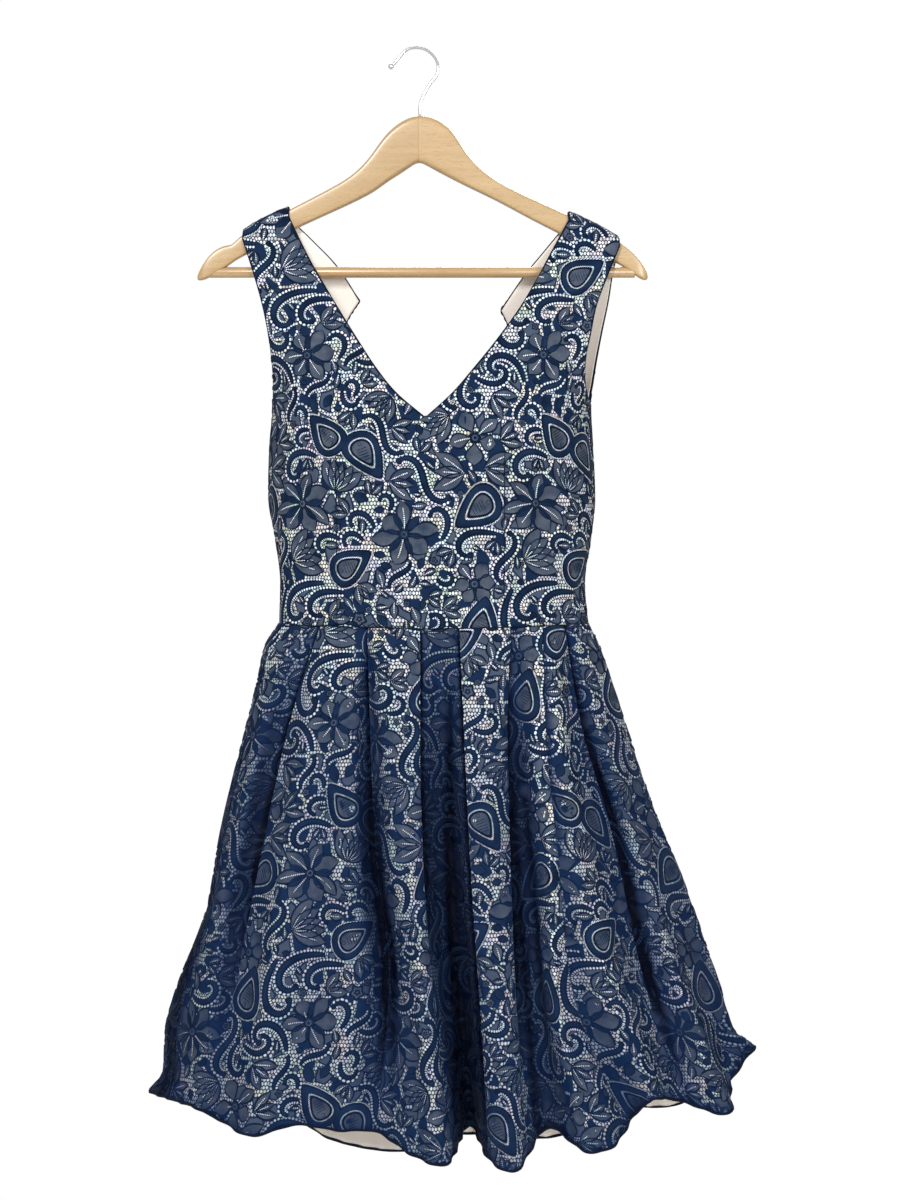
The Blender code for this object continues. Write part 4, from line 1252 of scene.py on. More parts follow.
REPEAT_WIDE, REPEAT_TALL = 232.0, 286.0
CORDED, SHEER, PICOT, OUTLINE = 0, 1, 2, 3
EDGE_HIGH, PICOT_HIGH, SHEER_HIGH, TAPE_HIGH, CORD_HIGH = 0.05, 0.32, 0.42, 0.7, 1.05
CORD_WIDE = 1.1
PICOT_WIDE = 3.3
PICOT_LOW = EDGE_HIGH + 0.12
RIM_LEAST, TIP_LEAST = 0.12, 0.35  # half the width that a petal's filling and its tip keep
RIB_WIDE, RIB_RAISED, RIB_LONG = 1.15, 0.15, 0.75  # a petal's vein; its length is a share of the petal
RIB_HOLES = (1.7, 1.5)  # how much closer a vein's holes are than those of a row, along and across
STITCH_STEP = 3.6
CELL_STEP = 0.8
CLOSE_REACH = 4  # a motif is drawn to others that are this many mm beyond its gap
CROSSING_COST = 2
TRIES = 420
LIFT = 0.1  # motifs lie up to this much higher or lower, so that few meet in one plane


def turned_to(across, up, x, y, turn):
    """A place, or places, turned about the origin and then moved by x and y."""
    a = math.radians(turn)
    return x + across * math.cos(a) - up * math.sin(a), y + across * math.sin(a) + up * math.cos(a)


class Lacework:
    """Flat lacework: points (x, y, height), faces with a finish each, and (along, across) on the thread."""

    def __init__(self):
        self.points, self.threads, self.faces, self.finishes = [], [], [], []

    def add(self, other, x=0.0, y=0.0, turn=0.0, lift=0.0):
        start = len(self.points)
        for across, up, high in other.points:
            self.points.append((*turned_to(across, up, x, y, turn), high + lift * (high > EDGE_HIGH)))
        self.threads += other.threads
        self.faces += [tuple(start + k for k in face) for face in other.faces]
        self.finishes += other.finishes
        return self


def band(path, spans, heights, finishes):
    """A band along a path; each span is a column's distance from the path."""
    path = np.asarray(path, float)
    along = unit(np.gradient(path, axis=0))
    side = np.column_stack([-along[:, 1], along[:, 0]])
    made = Lacework()
    columns = [(np.broadcast_to(span, len(path)), high) for span, high in zip(spans, heights)]
    for k, run in enumerate(lengths(path)):
        for span, high in columns:
            made.points.append((*(path[k] + side[k] * span[k]), high))
            made.threads.append((run, span[k]))
    for k in range(len(path) - 1):
        for j, kind in enumerate(finishes):
            a = k * len(columns) + j
            made.faces.append((a, a + 1, a + len(columns) + 1, a + len(columns)))
            made.finishes.append(kind)
    return made


def cord_line(path, wide=CORD_WIDE):
    return band(path, (-wide / 2, 0, wide / 2), (EDGE_HIGH, CORD_HIGH, EDGE_HIGH), (OUTLINE, CORDED))


def picot_row(path, inner, outer):
    """A row of small holes along a band; its thread place runs across as for a row of full width."""
    row = band(path, (inner, outer), (PICOT_HIGH, PICOT_LOW), (PICOT,))
    row.threads = [(run, PICOT_WIDE * (k % 2 - 0.5)) for k, (run, _) in enumerate(row.threads)]
    return row


def scroll(length, wide, *bends, knobs=(1,)):
    """A curling band that thins towards its ends, some of which end in a knob."""
    path = route_of(length, *bends)
    path -= path.mean(axis=0)
    half = wide / 2 * np.sin(math.pi * (0.07 + 0.86 * np.linspace(0, 1, len(path)))) ** 0.5
    heights = (EDGE_HIGH, CORD_HIGH, CORD_HIGH, EDGE_HIGH)
    made = band(path, (-half, -0.66 * half, 0.66 * half, half), heights, (OUTLINE, CORDED, OUTLINE))
    made.add(picot_row(path, half, half + PICOT_WIDE))
    made.add(picot_row(path, -half - PICOT_WIDE, -half))
    for end in knobs:
        rings = ((1, EDGE_HIGH, OUTLINE), (0.7, CORD_HIGH, CORDED), (0.3, TAPE_HIGH, CORDED))
        made.add(patch(circle(0.6 * wide, 9), rings), *path[-1 if end else 0])
    return made


def steps_towards(headings):
    """Points one step apart, each reached from the last in a heading's direction."""
    return np.vstack([(0, 0), np.cumsum(np.column_stack([np.cos(headings), np.sin(headings)]), axis=0)])


def route_of(length, *bends):
    """A flat path of a length, whose bend in degrees per 10 mm goes through the given values."""
    count = max(4, int(length / STITCH_STEP) + 1)
    bend = np.radians(np.interp(np.linspace(0, 1, count), np.linspace(0, 1, len(bends)), bends)) / 10
    heading = np.concatenate([[0], np.cumsum((bend[1:] + bend[:-1]) / 2 * length / (count - 1))])
    return steps_towards((heading[1:] + heading[:-1]) / 2) * (length / (count - 1))


def blade(length, half, bend=0.0, rim=2.0, steps=8, belly=0.5, filled=SHEER, vein=True):
    """A petal or leaf along x: a raised rim round its filling, with a corded vein."""
    s = np.linspace(0, 1, steps + 1)
    turn = math.radians(bend) * s
    path = steps_towards((turn[1:] + turn[:-1]) / 2) * length / steps
    wide = np.sin(math.pi * s ** (math.log(0.5) / math.log(belly))) ** 0.75 * half + TIP_LEAST
    inner = np.maximum(wide - rim, RIM_LEAST)
    crest = (wide + inner) / 2
    high = SHEER_HIGH if filled == SHEER else TAPE_HIGH
    made = band(
        path,
        (-wide, -crest, -inner, inner, crest, wide),
        (EDGE_HIGH, CORD_HIGH, high, high, CORD_HIGH, EDGE_HIGH),
        (OUTLINE, CORDED, filled, CORDED, OUTLINE),
    )
    if not vein:
        return made
    rib_path, rib_high = path[: int(steps * RIB_LONG) + 1], high + RIB_RAISED
    rib = band(rib_path, (-RIB_WIDE, RIB_WIDE), (rib_high, rib_high), (PICOT,))
    rib.threads = [(RIB_HOLES[0] * run, RIB_HOLES[1] * across) for run, across in rib.threads]
    return made.add(rib)


def circle(radius, count, lobes=0, deep=0.0):
    a = np.linspace(0, 2 * math.pi, count, endpoint=False)
    r = radius * (1 + deep * np.cos(lobes * a))
    return np.column_stack([r * np.cos(a), r * np.sin(a)])


def patch(outline, rings, centre=(0.0, 0.0)):
    """Rings shrunk from a closed outline: each is its share, its height and the finish inside it."""
    closed = np.vstack([outline, outline[:1]])
    made = Lacework()
    for share, height, _ in rings:
        made.points += [(x, y, height) for x, y in centre + (closed - centre) * share]
        made.threads += [(run * share, 0.0) for run in lengths(closed)]
    made.points.append((*centre, rings[-1][1]))
    made.threads.append((0.0, 0.0))
    count = len(closed)
    for number, (_, _, kind) in enumerate(rings):
        for a in range(number * count, (number + 1) * count - 1):
            inner = (a + count + 1, a + count) if number < len(rings) - 1 else (len(rings) * count,)
            made.faces.append((a, a + 1, *inner))
            made.finishes.append(kind)
    return made


def flower(petals, reach, half, heart=6.0, buds=True):
    """Sheer petals round a corded heart, with narrow solid blades between them."""
    made = Lacework()
    for k in range(petals):
        turn = 360 * k / petals + draw.uniform(-5, 5)
        length = (reach - heart) * draw.uniform(0.72, 1.12)
        wide, bend = half * draw.uniform(0.8, 1.15), draw.uniform(-32, 32)
        petal = blade(length, wide, bend, belly=draw.uniform(0.5, 0.66), vein=draw.random() < 0.4)
        made.add(petal, *turned_to(0.7 * heart, 0, 0, 0, turn), turn)
        if buds:
            between = turn + 180 / petals
            bud = blade(0.62 * length, 0.13 * length, steps=5, filled=CORDED, vein=False)
            made.add(bud, *turned_to(0.8 * heart, 0, 0, 0, between), between)
    rings = ((1, EDGE_HIGH, OUTLINE), (0.8, CORD_HIGH, CORDED), (0.5, TAPE_HIGH, SHEER))
    return made.add(patch(circle(heart, 12), (*rings, (0.28, CORD_HIGH, CORDED))))


def curled_drop(length):
    """A drop with a thick solid body, a ring of small holes and a laddered sheer middle with an eye."""
    a = np.linspace(0, 2 * math.pi, 26, endpoint=False)
    x = 0.5 * length * np.cos(a)
    y = 0.33 * length * np.sin(a) * (1 - 0.6 * np.cos(a)) ** 0.9 + 0.16 * length * (x / length + 0.5) ** 2
    middle = (-0.13 * length, 0.02 * length)
    rings = (
        (1.11, EDGE_HIGH, PICOT),
        (1.0, PICOT_HIGH, OUTLINE),
        (0.94, CORD_HIGH, CORDED),
        (0.66, TAPE_HIGH, PICOT),
        (0.56, SHEER_HIGH, OUTLINE),
        (0.52, CORD_HIGH, OUTLINE),
        (0.46, SHEER_HIGH, SHEER),
    )
    made = patch(np.column_stack([x, y]), rings, middle)
    width = len(a) + 1
    for ring, longer, across in ((0, 1, 1), (1, 1, -1), (3, 1.5, 0.9), (4, 1.5, -0.9)):
        for k in range(ring * width, (ring + 1) * width):
            made.threads[k] = (longer * made.threads[k][0], across * PICOT_WIDE / 2)
    for k in range(5):
        at = middle[0] + (k - 0.4) * 0.055 * length
        made.add(cord_line([(at, middle[1] + off * length) for off in (-0.09, 0.01, 0.1)], 0.8))
    eye = patch(circle(2.4, 8), ((1, EDGE_HIGH, CORDED), (0.7, CORD_HIGH, SHEER), (0.4, SHEER_HIGH, SHEER)))
    return made.add(eye, middle[0] - 0.12 * length, middle[1])


def leaf_fan(length, half, blades=3):
    """Sheer leaves spread from one point, the middle one shortest."""
    made = Lacework()
    for turn in np.linspace(-40, 40, blades) * (1 + 0.1 * (blades - 3)):
        size = 0.85 + 0.15 * abs(turn) / 40
        made.add(blade(size * length, size * half, bend=-0.45 * turn, steps=7), 0, 0, turn)
    return made


def blossom(radius):
    """A small round flower of five sheer lobes round a corded heart."""
    rings = (
        (1, EDGE_HIGH, OUTLINE),
        (0.86, CORD_HIGH, CORDED),
        (0.68, SHEER_HIGH, SHEER),
        (0.4, SHEER_HIGH, CORDED),
        (0.3, CORD_HIGH, CORDED),
        (0.14, TAPE_HIGH, SHEER),
    )
    return patch(circle(radius, 20, 5, 0.2), rings)


draw = np.random.default_rng(11)
taken = np.zeros((int(REPEAT_TALL), int(REPEAT_WIDE)), bool)
repeat = Lacework()


def cells_under(motif):
    """Points less than 1 mm apart all over a motif's solid and sheer faces."""
    points = np.array(motif.points)[:, :2]
    found = []
    for face, kind in zip(motif.faces, motif.finishes):
        if kind == PICOT:
            continue
        a, b, c, d = points[list(face) + [face[-1]] * (4 - len(face))]
        sides = np.linalg.norm([a - d, b - a, c - b, d - c], axis=1)
        f = np.linspace(0, 1, max(2, int(sides.max() / CELL_STEP) + 2))
        g, h = (grid.reshape(-1, 1) for grid in np.meshgrid(f, f))
        found.append((1 - g) * ((1 - h) * a + h * d) + g * ((1 - h) * b + h * c))
    return np.unique(np.round(np.vstack(found) / CELL_STEP), axis=0) * CELL_STEP


def cells_at(points, x, y, turn):
    across, up = turned_to(points[:, 0], points[:, 1], x, y, turn)
    return np.floor(up).astype(int) % taken.shape[0], np.floor(across).astype(int) % taken.shape[1]


def widened(cells, by):
    """The cells with a border added to them, round the repeat's edges too."""
    grown = cells.copy()
    for i in range(-by, by + 1):
        for j in range(-by, by + 1):
            if i * i + j * j <= by * by:
                grown |= np.roll(cells, (i, j), (0, 1))
    return grown


def settle(motif, x, y, turn):
    taken[cells_at(cells_under(motif), x, y, turn)] = True
    repeat.add(motif, x, y, turn, lift=draw.uniform(-LIFT, LIFT))


def fit(motif, clash, tries=TRIES, gap=3):
    """Lays a motif where it crosses others least and lies closest to them, if there is room for it."""
    under = cells_under(motif)
    near, far = widened(taken, gap), widened(taken, gap + CLOSE_REACH)
    best = None
    for _ in range(tries):
        place = draw.uniform(0, REPEAT_WIDE), draw.uniform(0, REPEAT_TALL), draw.uniform(0, 360)
        cells = cells_at(under, *place)
        crossed = near[cells].mean()
        closeness = far[cells].mean() - CROSSING_COST * crossed
        if crossed <= clash and (best is None or closeness > best[0]):
            best = (closeness, *place)
    if best:
        settle(motif, *best[1:])


for x, y, turn, petals, reach, half, buds in (
    (58, 222, 10, 8, 38, 7.8, True),
    (176, 92, 30, 7, 37, 8.6, True),
    (186, 236, 0, 6, 32, 9.0, True),
    (46, 62, 20, 6, 34, 9.2, True),
    (118, 154, 45, 5, 28, 8.6, False),
    (112, 14, 5, 6, 27, 7.6, False),
):
    settle(flower(petals, reach, half, buds=buds), x, y, turn)
for x, y, turn, length in (
    (120, 262, 65, 50),
    (116, 88, 205, 52),
    (10, 136, -70, 50),
    (206, 160, 120, 48),
    (226, 30, 20, 46),
):
    settle(curled_drop(length), x, y, turn)
for length, wide, bends, knobs in (
    (80, 6.4, (2, 20, 76), (1,)),
    (72, 6.0, (-70, 0, 70), (0, 1)),
    (66, 5.8, (8, 30, 84), (1,)),
    (60, 5.6, (-6, 28, 88), (1,)),
    (58, 5.4, (-80, 0, 80), (0, 1)),
    (52, 5.4, (10, 42, 92), (1,)),
    (46, 5.0, (6, 38, 100), (1,)),
) * 2:
    fit(scroll(length, wide, *bends, knobs=knobs), 0.05)
for size, blades in zip((36, 32, 34, 30, 28, 30, 26, 24, 26, 22), (5, 5, 3, 5, 3, 3, 5, 3, 3, 3)):
    fit(leaf_fan(size, 0.22 * size, blades), 0.06)
for size in (21, 19, 17, 20, 16, 18, 15, 17, 14, 16, 13, 15):
    fit(leaf_fan(size, 0.28 * size), 0.05)
for length, wide, bends in (
    (38, 4.8, (10, 50, 96)),
    (34, 4.6, (-76, 0, 80)),
    (30, 4.4, (20, 104)),
    (26, 4.2, (40, 120)),
) * 4:
    fit(scroll(length, wide, *bends), 0.06, 300, 2)
for size in (18, 16, 14, 15, 13, 12, 14, 11, 12, 10, 13, 11, 9, 10, 12, 9) * 3:
    kind = CORDED if draw.random() < 0.4 else SHEER
    leaf = blade(size, 0.3 * size, bend=draw.uniform(-30, 30), steps=6, filled=kind, vein=kind == SHEER)
    fit(leaf, 0.04, 240, 2)
for radius in (7, 6, 5.5, 5, 5.5, 4.5, 5, 4, 4.5, 4, 3.6, 4, 3.4, 3.6, 3.4, 3.2) * 2:
    fit(blossom(radius), 0.04, 220, 2)


# ---------------------------------------------------------------- lacework on the panels
# The repeats run straight down each panel. What reaches over a panel's edge or under a pleat is cut
# off there. Solid embroidery, sheer filling and the rows of holes have a finish each.

CUT_REACH = 7.0  # stitches up to this far outside the cloth are drawn back to its edge
ON_CLOTH = 0.3  # a stitch this near to the cloth counts as on it
HOLE_STEP = 3.1  # from hole to hole along a row
LACE_PARTS_AT = 55.0  # the x where the skirt front's lacework is parted in two pieces
LACE_STARTS = {
    "bodice_front": (-71, 30),
    "bodice_back_left": (20, 118),
    "bodice_back_right": (-36, 64),
    "skirt_front": (12, -40),
    "skirt_back_right": (60, 25),
    "skirt_back_left": (-15, 90),
}


def satin_stitch(name, dark, light):
    """Navy embroidery: satin stitches across each band, uneven dye and a quiet sheen."""
    look = finish(name, 0.55, Specular_IOR_Level=0.05, Sheen_Weight=0.02, Sheen_Roughness=0.35)
    stitches = look.wave(look.mapping(look.map_of("thread"), turn=(0, 0, 0.5)), 0.42, 1.5, 1.0, 3.0)
    dyed = look.mix(look.ramp(look.noise(look.place(), 55.0, 4.0), 0.3, 0.7), dark, light)
    # The stitches' stripes brighten and darken the dyed colour: partly the thread's pattern, partly a painted
    # highlight along each stitch.
    colour = look.mix(1.0, dyed, look.ramp(stitches, 0.2, 0.9, 0.72, 1.12), "MULTIPLY")
    # The stitches are darkened by the painted fold shade.
    look.put(Base_Color=with_painted_shade(look, colour, NAVY_PAINTED_SHADE))
    look.bump(stitches, 0.5, 0.0004)
    return look.owner


def sheer_filling():
    """Close navy mesh over the lining, which reads as grey with fine threads down the cloth."""
    look = finish("sheer filling", 0.66, Specular_IOR_Level=0.07, Sheen_Weight=0.02, Sheen_Roughness=0.4)
    place = look.map_of("cloth")
    threads = look.wave(place, 260.0, 0.8, 1.0)
    tone = look.ramp(look.noise(place, 70.0, 3.0), 0.3, 0.72)
    base = look.mix(tone, (0.026, 0.043, 0.080), (0.098, 0.115, 0.148))
    colour = look.mix(1.0, base, look.ramp(threads, 0.0, 1.0, 0.7, 1.15), "MULTIPLY")
    # The filling is darkened by the painted fold shade.
    look.put(Base_Color=with_painted_shade(look, colour, NAVY_PAINTED_SHADE))
    look.bump(threads, 0.3, 0.0002)
    return look.owner


def row_of_holes():
    """Navy edging pierced by one row of small holes over the lining."""
    look = finish("row of small holes", 0.7, Specular_IOR_Level=0.05)
    thread = look.node("SeparateXYZ", {0: look.map_of("thread")})
    inside = look.maths("FRACT", look.maths("DIVIDE", thread[0], HOLE_STEP))
    along = look.maths("MULTIPLY", look.maths("SUBTRACT", inside, 0.5), HOLE_STEP)
    across = look.maths("MULTIPLY", thread[1], 0.95)
    distance = look.vector("LENGTH", look.node("CombineXYZ", {0: along, 1: across})[0])
    navy = look.ramp(distance, 0.85, 1.3, interpolation_type="SMOOTHSTEP")
    # The lining in the holes is darkened by the painted fold shade.
    lining = with_painted_shade(look, seen_through(look, (0.76, 0.83, 0.88), look.map_of("cloth")), LINING_PAINTED_SHADE)
    look.put(Base_Color=look.mix(navy, lining, (0.006, 0.016, 0.044)))
    look.bump(navy, 0.5, 0.0004)
    return look.owner


lace_finishes = (
    satin_stitch("navy satin stitch", (0.003, 0.011, 0.034), (0.011, 0.030, 0.076)),
    sheer_filling(),
    row_of_holes(),
    satin_stitch("navy outline stitch", (0.0015, 0.004, 0.013), (0.005, 0.013, 0.036)),
)
repeat_points, repeat_threads = np.array(repeat.points), np.array(repeat.threads)


def lay_on(panel, start):
    """Lays repeats over a panel's flat parts and carries them onto its hanging form.

    Returns the points with their thread and cloth places and painted fold shade, and the faces with a finish
    each.
    """
    flats, hanging, quads = [], [], []
    for grid, flat, outward, fold_shade in panel:
        rows, columns = flat.shape[:2]
        index = len(flats) + np.arange(rows * columns).reshape(rows, columns)
        four = (index[:-1, :-1], index[:-1, 1:], index[1:, 1:], index[1:, :-1])
        quads += np.dstack(four).reshape(-1, 4).tolist()
        flats += flat.reshape(-1, 2).tolist()
        hanging.append(np.dstack([grid, grid_normals(grid, outward), fold_shade]).reshape(-1, 7))
    hanging = np.vstack(hanging)
    flat_corners = [Vector((u, v, 0)) for u, v in flats]
    tree = BVHTree.FromPolygons(flat_corners, quads)
    low, high = np.min(flats, axis=0), np.max(flats, axis=0)
    size = np.array((REPEAT_WIDE, REPEAT_TALL))
    first = np.floor((low - start) / size).astype(int) - 1
    last = np.ceil((high - start) / size).astype(int) + 1
    laid, threads, cloth_places, depths, faces, finishes = [], [], [], [], [], []
    for column, row in itertools.product(range(first[0], last[0]), range(first[1], last[1])):
        at = repeat_points[:, :2] + start + (column, row) * size
        near = ((at > low - CUT_REACH) & (at < high + CUT_REACH)).all(axis=1)
        number = np.full(len(at), -1)
        inside = np.zeros(len(at), bool)
        for k in np.flatnonzero(near):
            spot, _, quad, distance = tree.find_nearest((*at[k], 0), CUT_REACH)
            if spot is None:
                continue
            number[k] = len(laid)
            inside[k] = distance < ON_CLOTH
            weights = poly_3d_calc([flat_corners[c] for c in quads[quad]], spot)
            found = weights @ hanging[quads[quad]]
            laid.append(found[:3] + unit(found[3:6]) * repeat_points[k, 2])
            threads.append(repeat_threads[k])
            cloth_places.append(at[k] * MM)
            depths.append(found[6])
        for face, kind in zip(repeat.faces, repeat.finishes):
            corners = number[list(face)]
            if corners.min() >= 0 and inside[list(face)].any():
                faces.append(corners.tolist())
                finishes.append(kind)
    points = [np.array(values) for values in (laid, threads, cloth_places, depths)]
    return points, faces, np.array(finishes)


def lace_piece(name, points, faces, finishes):
    """A piece of the laid lacework, with those points that its faces use."""
    used = np.unique(np.concatenate(faces))
    laid, threads, cloth_places, depths = (values[used] for values in points)
    data = bpy.data.meshes.new(name)
    data.from_pydata((laid * MM).tolist(), [], [np.searchsorted(used, face).tolist() for face in faces])
    data.polygons.foreach_set("material_index", finishes)
    corners = np.zeros(len(data.loops), int)
    data.loops.foreach_get("vertex_index", corners)
    data.uv_layers.new(name="thread").data.foreach_set("uv", threads[corners].ravel())
    data.uv_layers.new(name="cloth").data.foreach_set("uv", cloth_places[corners].ravel())
    # The lace keeps the painted fold shade of the cloth under it.
    data.attributes.new("painted_shade", "FLOAT", "POINT").data.foreach_set("value", depths)
    for material in lace_finishes:
        data.materials.append(material)
    data.shade_smooth()
    piece = added(name, data)
    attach(piece, "dress")
    return piece


sewn_on = {}
for name, panel in panels.items():
    points, faces, finishes = lay_on(panel, np.array(LACE_STARTS[name], float))
    on_left = np.array([points[0][face[0], 0] < LACE_PARTS_AT for face in faces])
    chosen = {"": np.ones(len(faces), bool)}
    if name == "skirt_front":
        chosen = {"_left": on_left, "_right": ~on_left}
    sewn_on[name] = [
        lace_piece(name + "_lace" + half, points, list(itertools.compress(faces, own)), finishes[own])
        for half, own in chosen.items()
    ]


# ---------------------------------------------------------------- edges and seams
# Every raw edge is rolled over a navy cord and overlocked: the neck, the armholes, the back opening and
# the hems. Thin thread lines mark the waist, side, shoulder and centre back seams and the bust darts.

EDGE_RADIUS = 1.15
SEAM_RADIUS = 0.75
SKIRT_SEAM_RADIUS = 0.95
HEM_RADIUS = 1.7
LINING_HEM_RADIUS = 0.8
DART_RADIUS = 0.5
SEAM_OFF = 0.3  # how far a waist seam lies beyond the panel's edge
HEM_OFF = 0.6  # how far a hem's roll lies below the panel
SEAM_TAIL = 1.4  # how far the skirt's seams run on below the hem
DART_OUT = 0.15  # how far a dart's thread lies off the cloth
LEAST_STEP = 0.4  # points nearer than this along a line are left out
TRIM_FACETS = 8
OPENING_POINTS = 170
DART_POINTS, DART_FROM = 60, 1.0  # a dart starts this far above the waist
LOOP_STEP = 6.4  # the small loops along the edge below each nape corner
LOOP_HIGH, LOOP_SWAY = 0.45, 0.4  # how much they thicken the edge, and how much that changes
LOOPS_DOWN, LOOPS_REACH = 22, 24  # the middle of that row of loops, from the corner, and half its length
DARTS = {"left": (-78, -400), "right": (84, -398)}  # x of each dart and the height of its point


def overlocked_edge():
    """Navy overlock: close slanted stitches round the edge."""
    look = finish("navy overlock", 0.65, Specular_IOR_Level=0.08)
    slant = look.mapping(look.map_of("thread"), (1.1, 2.0, 1.0), (0, 0, 0.6))
    wraps = look.wave(slant, 0.5, 0.6, 1.0)
    dyed = look.maths("MULTIPLY", wraps, look.noise(look.place(), 90.0, 2.0))
    look.put(Base_Color=look.mix(dyed, (0.002, 0.004, 0.012), (0.008, 0.016, 0.044)))
    look.bump(wraps, 0.6, 0.0004)
    return look.owner


overlock = overlocked_edge()


def trim(name, path, radius, on):
    """A rolled edge or seam line along a path, recorded with the cloth that it is sewn to."""
    path = np.asarray(path, float)
    apart = np.concatenate([[True], np.linalg.norm(np.diff(path, axis=0), axis=1) > LEAST_STEP])
    piece = tube(name, path[apart], np.broadcast_to(radius, len(path))[apart], TRIM_FACETS)
    piece.data.materials.append(overlock)
    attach(piece, "dress")
    sewn_on.setdefault(on, []).append(piece)


def mid_wall(grid, outward, wall=LACE_WALL):
    return grid - wall / 2 * grid_normals(grid, outward)


def middle_line(points):
    """The line pushed onto the hanger's middle plane, where front and back meet."""
    return points * (1, 0, 1)


front_mid = [mid_wall(grid, FORWARD) for grid in front_grids]
skirt_mid = {
    name: mid_wall(grid, FORWARD if name == "skirt_front" else BACKWARD) for name, grid in skirt_grids.items()
}
tip = BODICE_TUBE_ROWS
trim("neck_edge", np.vstack([front_mid[0][:tip:-1, 0], front_mid[1][tip:, 0]]), EDGE_RADIUS, "bodice_front")
for side, grid, mid in zip(SIDES, front_grids, front_mid):
    back, back_mid = "bodice_back_" + side, mid_wall(back_grids[side], BACKWARD)
    trim("front_armhole_edge_" + side, mid[tip:, -1], EDGE_RADIUS, "bodice_front")
    trim("back_armhole_edge_" + side, back_mid[tip:, -1], EDGE_RADIUS, back)
    opening = smooth_path(back_mid[tip:, 0], OPENING_POINTS)
    run = np.linspace(0, lengths(opening)[-1], len(opening))
    nape = run[np.abs(opening[:, 2] - NAPE["left_height"][0]).argmin()]
    near_nape = np.exp(-(((run - nape + LOOPS_DOWN) / LOOPS_REACH) ** 4))
    loops = near_nape * (LOOP_HIGH + LOOP_SWAY * np.sin(2 * math.pi * run / LOOP_STEP))
    trim("back_opening_edge_" + side, opening, EDGE_RADIUS + loops, back)
    trim("bodice_side_seam_" + side, middle_line(grid[: tip + 1, -1]), SEAM_RADIUS, "bodice_front")
    trim("shoulder_seam_" + side, middle_line(grid[-1]), SEAM_RADIUS, "bodice_front")
    trim("back_waist_seam_" + side, back_mid[0] - (0, 0, SEAM_OFF), SEAM_RADIUS, back)
waist = np.vstack([front_mid[0][0, :0:-1], front_mid[1][0]])
trim("front_waist_seam", waist - (0, 0, SEAM_OFF), SEAM_RADIUS, "bodice_front")
for name, before, after, on in (
    ("centre_back_seam", "skirt_back_right", "skirt_back_left", "skirt_back_left"),
    ("skirt_side_seam_left", "skirt_back_left", "skirt_front", "skirt_front"),
    ("skirt_side_seam_right", "skirt_front", "skirt_back_right", "skirt_front"),
):
    line = (skirt_mid[before][:, -1] + skirt_mid[after][:, 0]) / 2
    trim(name, np.vstack([line, line[-1:] - (0, 0, SEAM_TAIL)]), SKIRT_SEAM_RADIUS, on)
for name, mid in skirt_mid.items():
    trim(name + "_hem", mid[-1] - (0, 0, HEM_OFF), HEM_RADIUS, name)
    trim(name + "_waist_seam", mid[0] + (0, 0, SEAM_OFF), SEAM_RADIUS, name)
for side, band in lining_bands.items():
    hem = mid_wall(band, BACKWARD, LINING_WALL)[-1]
    trim("lining_hem_" + side, hem, LINING_HEM_RADIUS, "skirt_lining_" + side)
for side, (x, top) in DARTS.items():
    heights = np.linspace(WAIST_MIDDLE + DART_FROM, top, DART_POINTS)
    x = np.full(len(heights), float(x))
    line = np.column_stack([x, -body_depth(x, heights, "front") - DART_OUT, heights])
    trim("bust_dart_" + side, line, DART_RADIUS, "bodice_front")


# ---------------------------------------------------------------- concealed zip
# A woven navy tape under the centre back seam, from the keyhole down into the skirt, with its coil of
# nylon teeth, and a small lacquered metal slider whose tab hangs in its bail.

KEYHOLE_POINT = 6.0  # the x of the keyhole's lowest point
ZIP_TAPE_IN = LACE_WALL + LINING_WALL + 2.4 * SEAM_GAP
ZIP_TAPE_HALF = 11.0
ZIP_TAPE_WALL = 1.0
ZIP_TOP = -391.0
ZIP_BODICE_ROWS = 30
ZIP_COLUMNS = 9
ZIP_SKIRT_SHARES = np.linspace(0.02, 0.34, 28)
ZIP_TAPE_PLACE = 0.28  # half the tape's width, as a share of the way to the skirt's next fold
COIL_RADIUS, COIL_WIRE, COIL_PITCH = 0.9, 0.35, 1.6
COIL_STEPS, COIL_FACETS = 6, 5
COIL_END = 3.0  # how far from the tape's ends the coil begins


def woven_tape():
    """Navy herringbone tape: fine chevrons along the zip."""
    look = finish("woven zip tape", 0.8)
    ribs = look.wave(look.map_of("cloth"), 220.0, 0.4, bands_direction="DIAGONAL")
    look.put(Base_Color=look.mix(ribs, (0.010, 0.016, 0.036), (0.028, 0.042, 0.085)))
    look.bump(ribs, 0.4, 0.0003)
    return look.owner


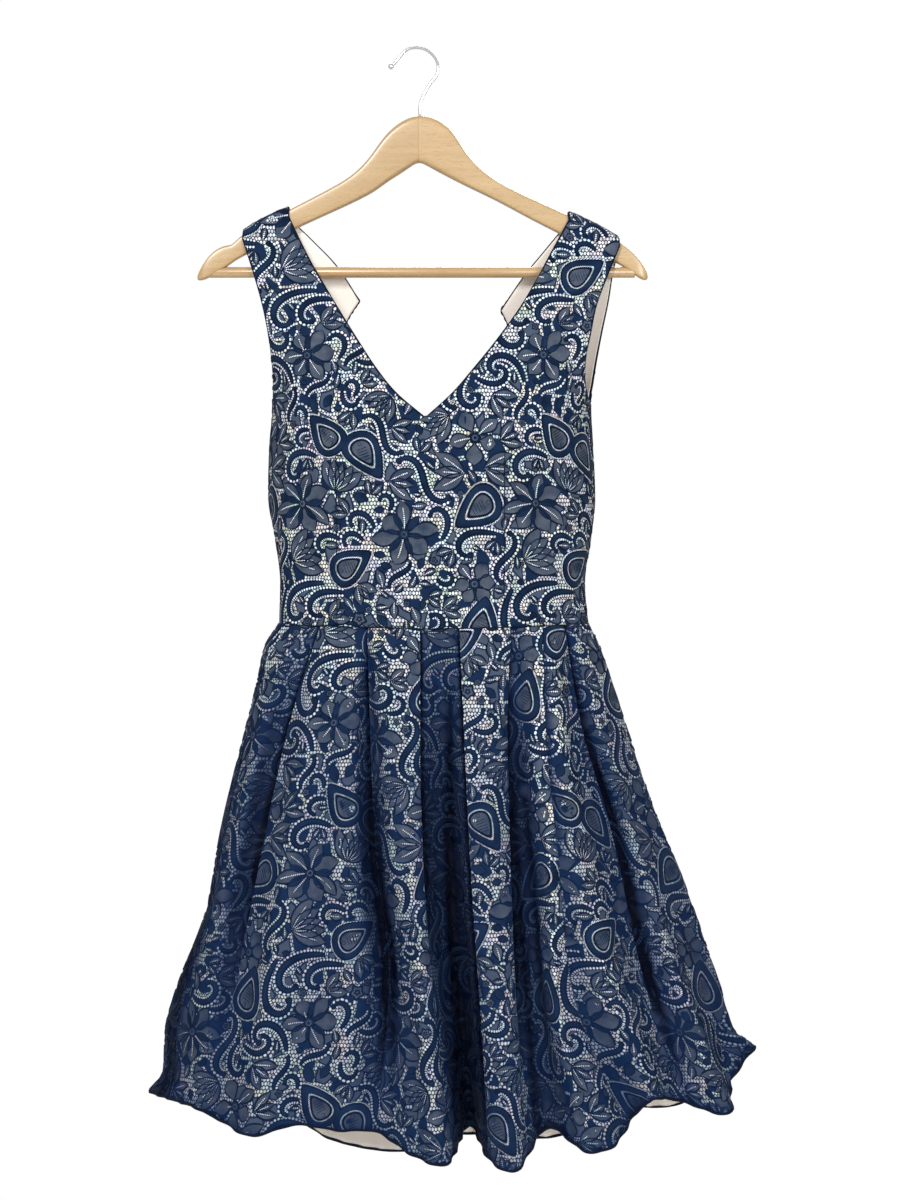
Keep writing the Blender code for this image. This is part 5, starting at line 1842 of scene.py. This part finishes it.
rows = []
offsets = np.linspace(1, -1, ZIP_COLUMNS)
for height in np.linspace(ZIP_TOP, WAIST_MIDDLE, ZIP_BODICE_ROWS):
    share = (height - WAIST_MIDDLE) / (KEYHOLE["left_height"][0] - WAIST_MIDDLE)
    x = CENTRE_WAIST + (KEYHOLE_POINT - CENTRE_WAIST) * share + offsets * ZIP_TAPE_HALF
    heights = np.full(ZIP_COLUMNS, height)
    rows.append(np.column_stack([x, body_depth(x, heights, "back"), heights]))
for share in ZIP_SKIRT_SHARES:
    rows.append(ring_points(skirt_ring(share), CENTRE_BACK_PLACE - offsets * ZIP_TAPE_PLACE))
tape = np.array(rows)
tape = tape - ZIP_TAPE_IN * grid_normals(tape, BACKWARD)
flat = np.dstack([np.broadcast_to(offsets * ZIP_TAPE_HALF, tape.shape[:2]), tape[..., 2]])
weave = woven_tape()
zip_tape = cloth("zip_tape_woven", [tape], [flat], BACKWARD, ZIP_TAPE_WALL, weave, weave)
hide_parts("zip_tape")
sheets["zip_tape"] = zip_tape

centre = ZIP_COLUMNS // 2
middle, outward = tape[:, centre], grid_normals(tape, BACKWARD)[:, centre]
run = lengths(middle)
turns = int((run[-1] - 2 * COIL_END) / COIL_PITCH)
along = np.linspace(COIL_END, run[-1] - COIL_END, turns * COIL_STEPS + 1)
up = read_along(outward, run, along)
core = read_along(middle, run, along) - (ZIP_TAPE_WALL + COIL_RADIUS + COIL_WIRE) * up
aside = unit(np.cross(up, np.gradient(core, axis=0)))
turn = (2 * math.pi * turns * np.linspace(0, 1, len(along)))[:, None]
coil = core + COIL_RADIUS * (np.cos(turn) * aside + np.sin(turn) * up)
zip_coil = tube("zip_coil", coil, COIL_WIRE, COIL_FACETS)
zip_coil.data.materials.append(finish("navy nylon coil", 0.4, Base_Color=(0.014, 0.024, 0.060, 1)).owner)
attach(zip_coil, "dress")
sewn_on["zip_tape"] = [zip_coil]

look = finish("navy lacquered zip metal", 0.32, Metallic=0.5, Coat_Weight=0.4)
worn = look.ramp(look.noise(look.place(), 900.0, 3.0), 0.6, 0.75)
look.put(Base_Color=look.mix(worn, (0.018, 0.026, 0.060), (0.10, 0.11, 0.14)))
for name in ("zip_slider", "zip_pull"):
    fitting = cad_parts[name]
    fitting.data.materials.clear()
    fitting.data.materials.append(look.owner)
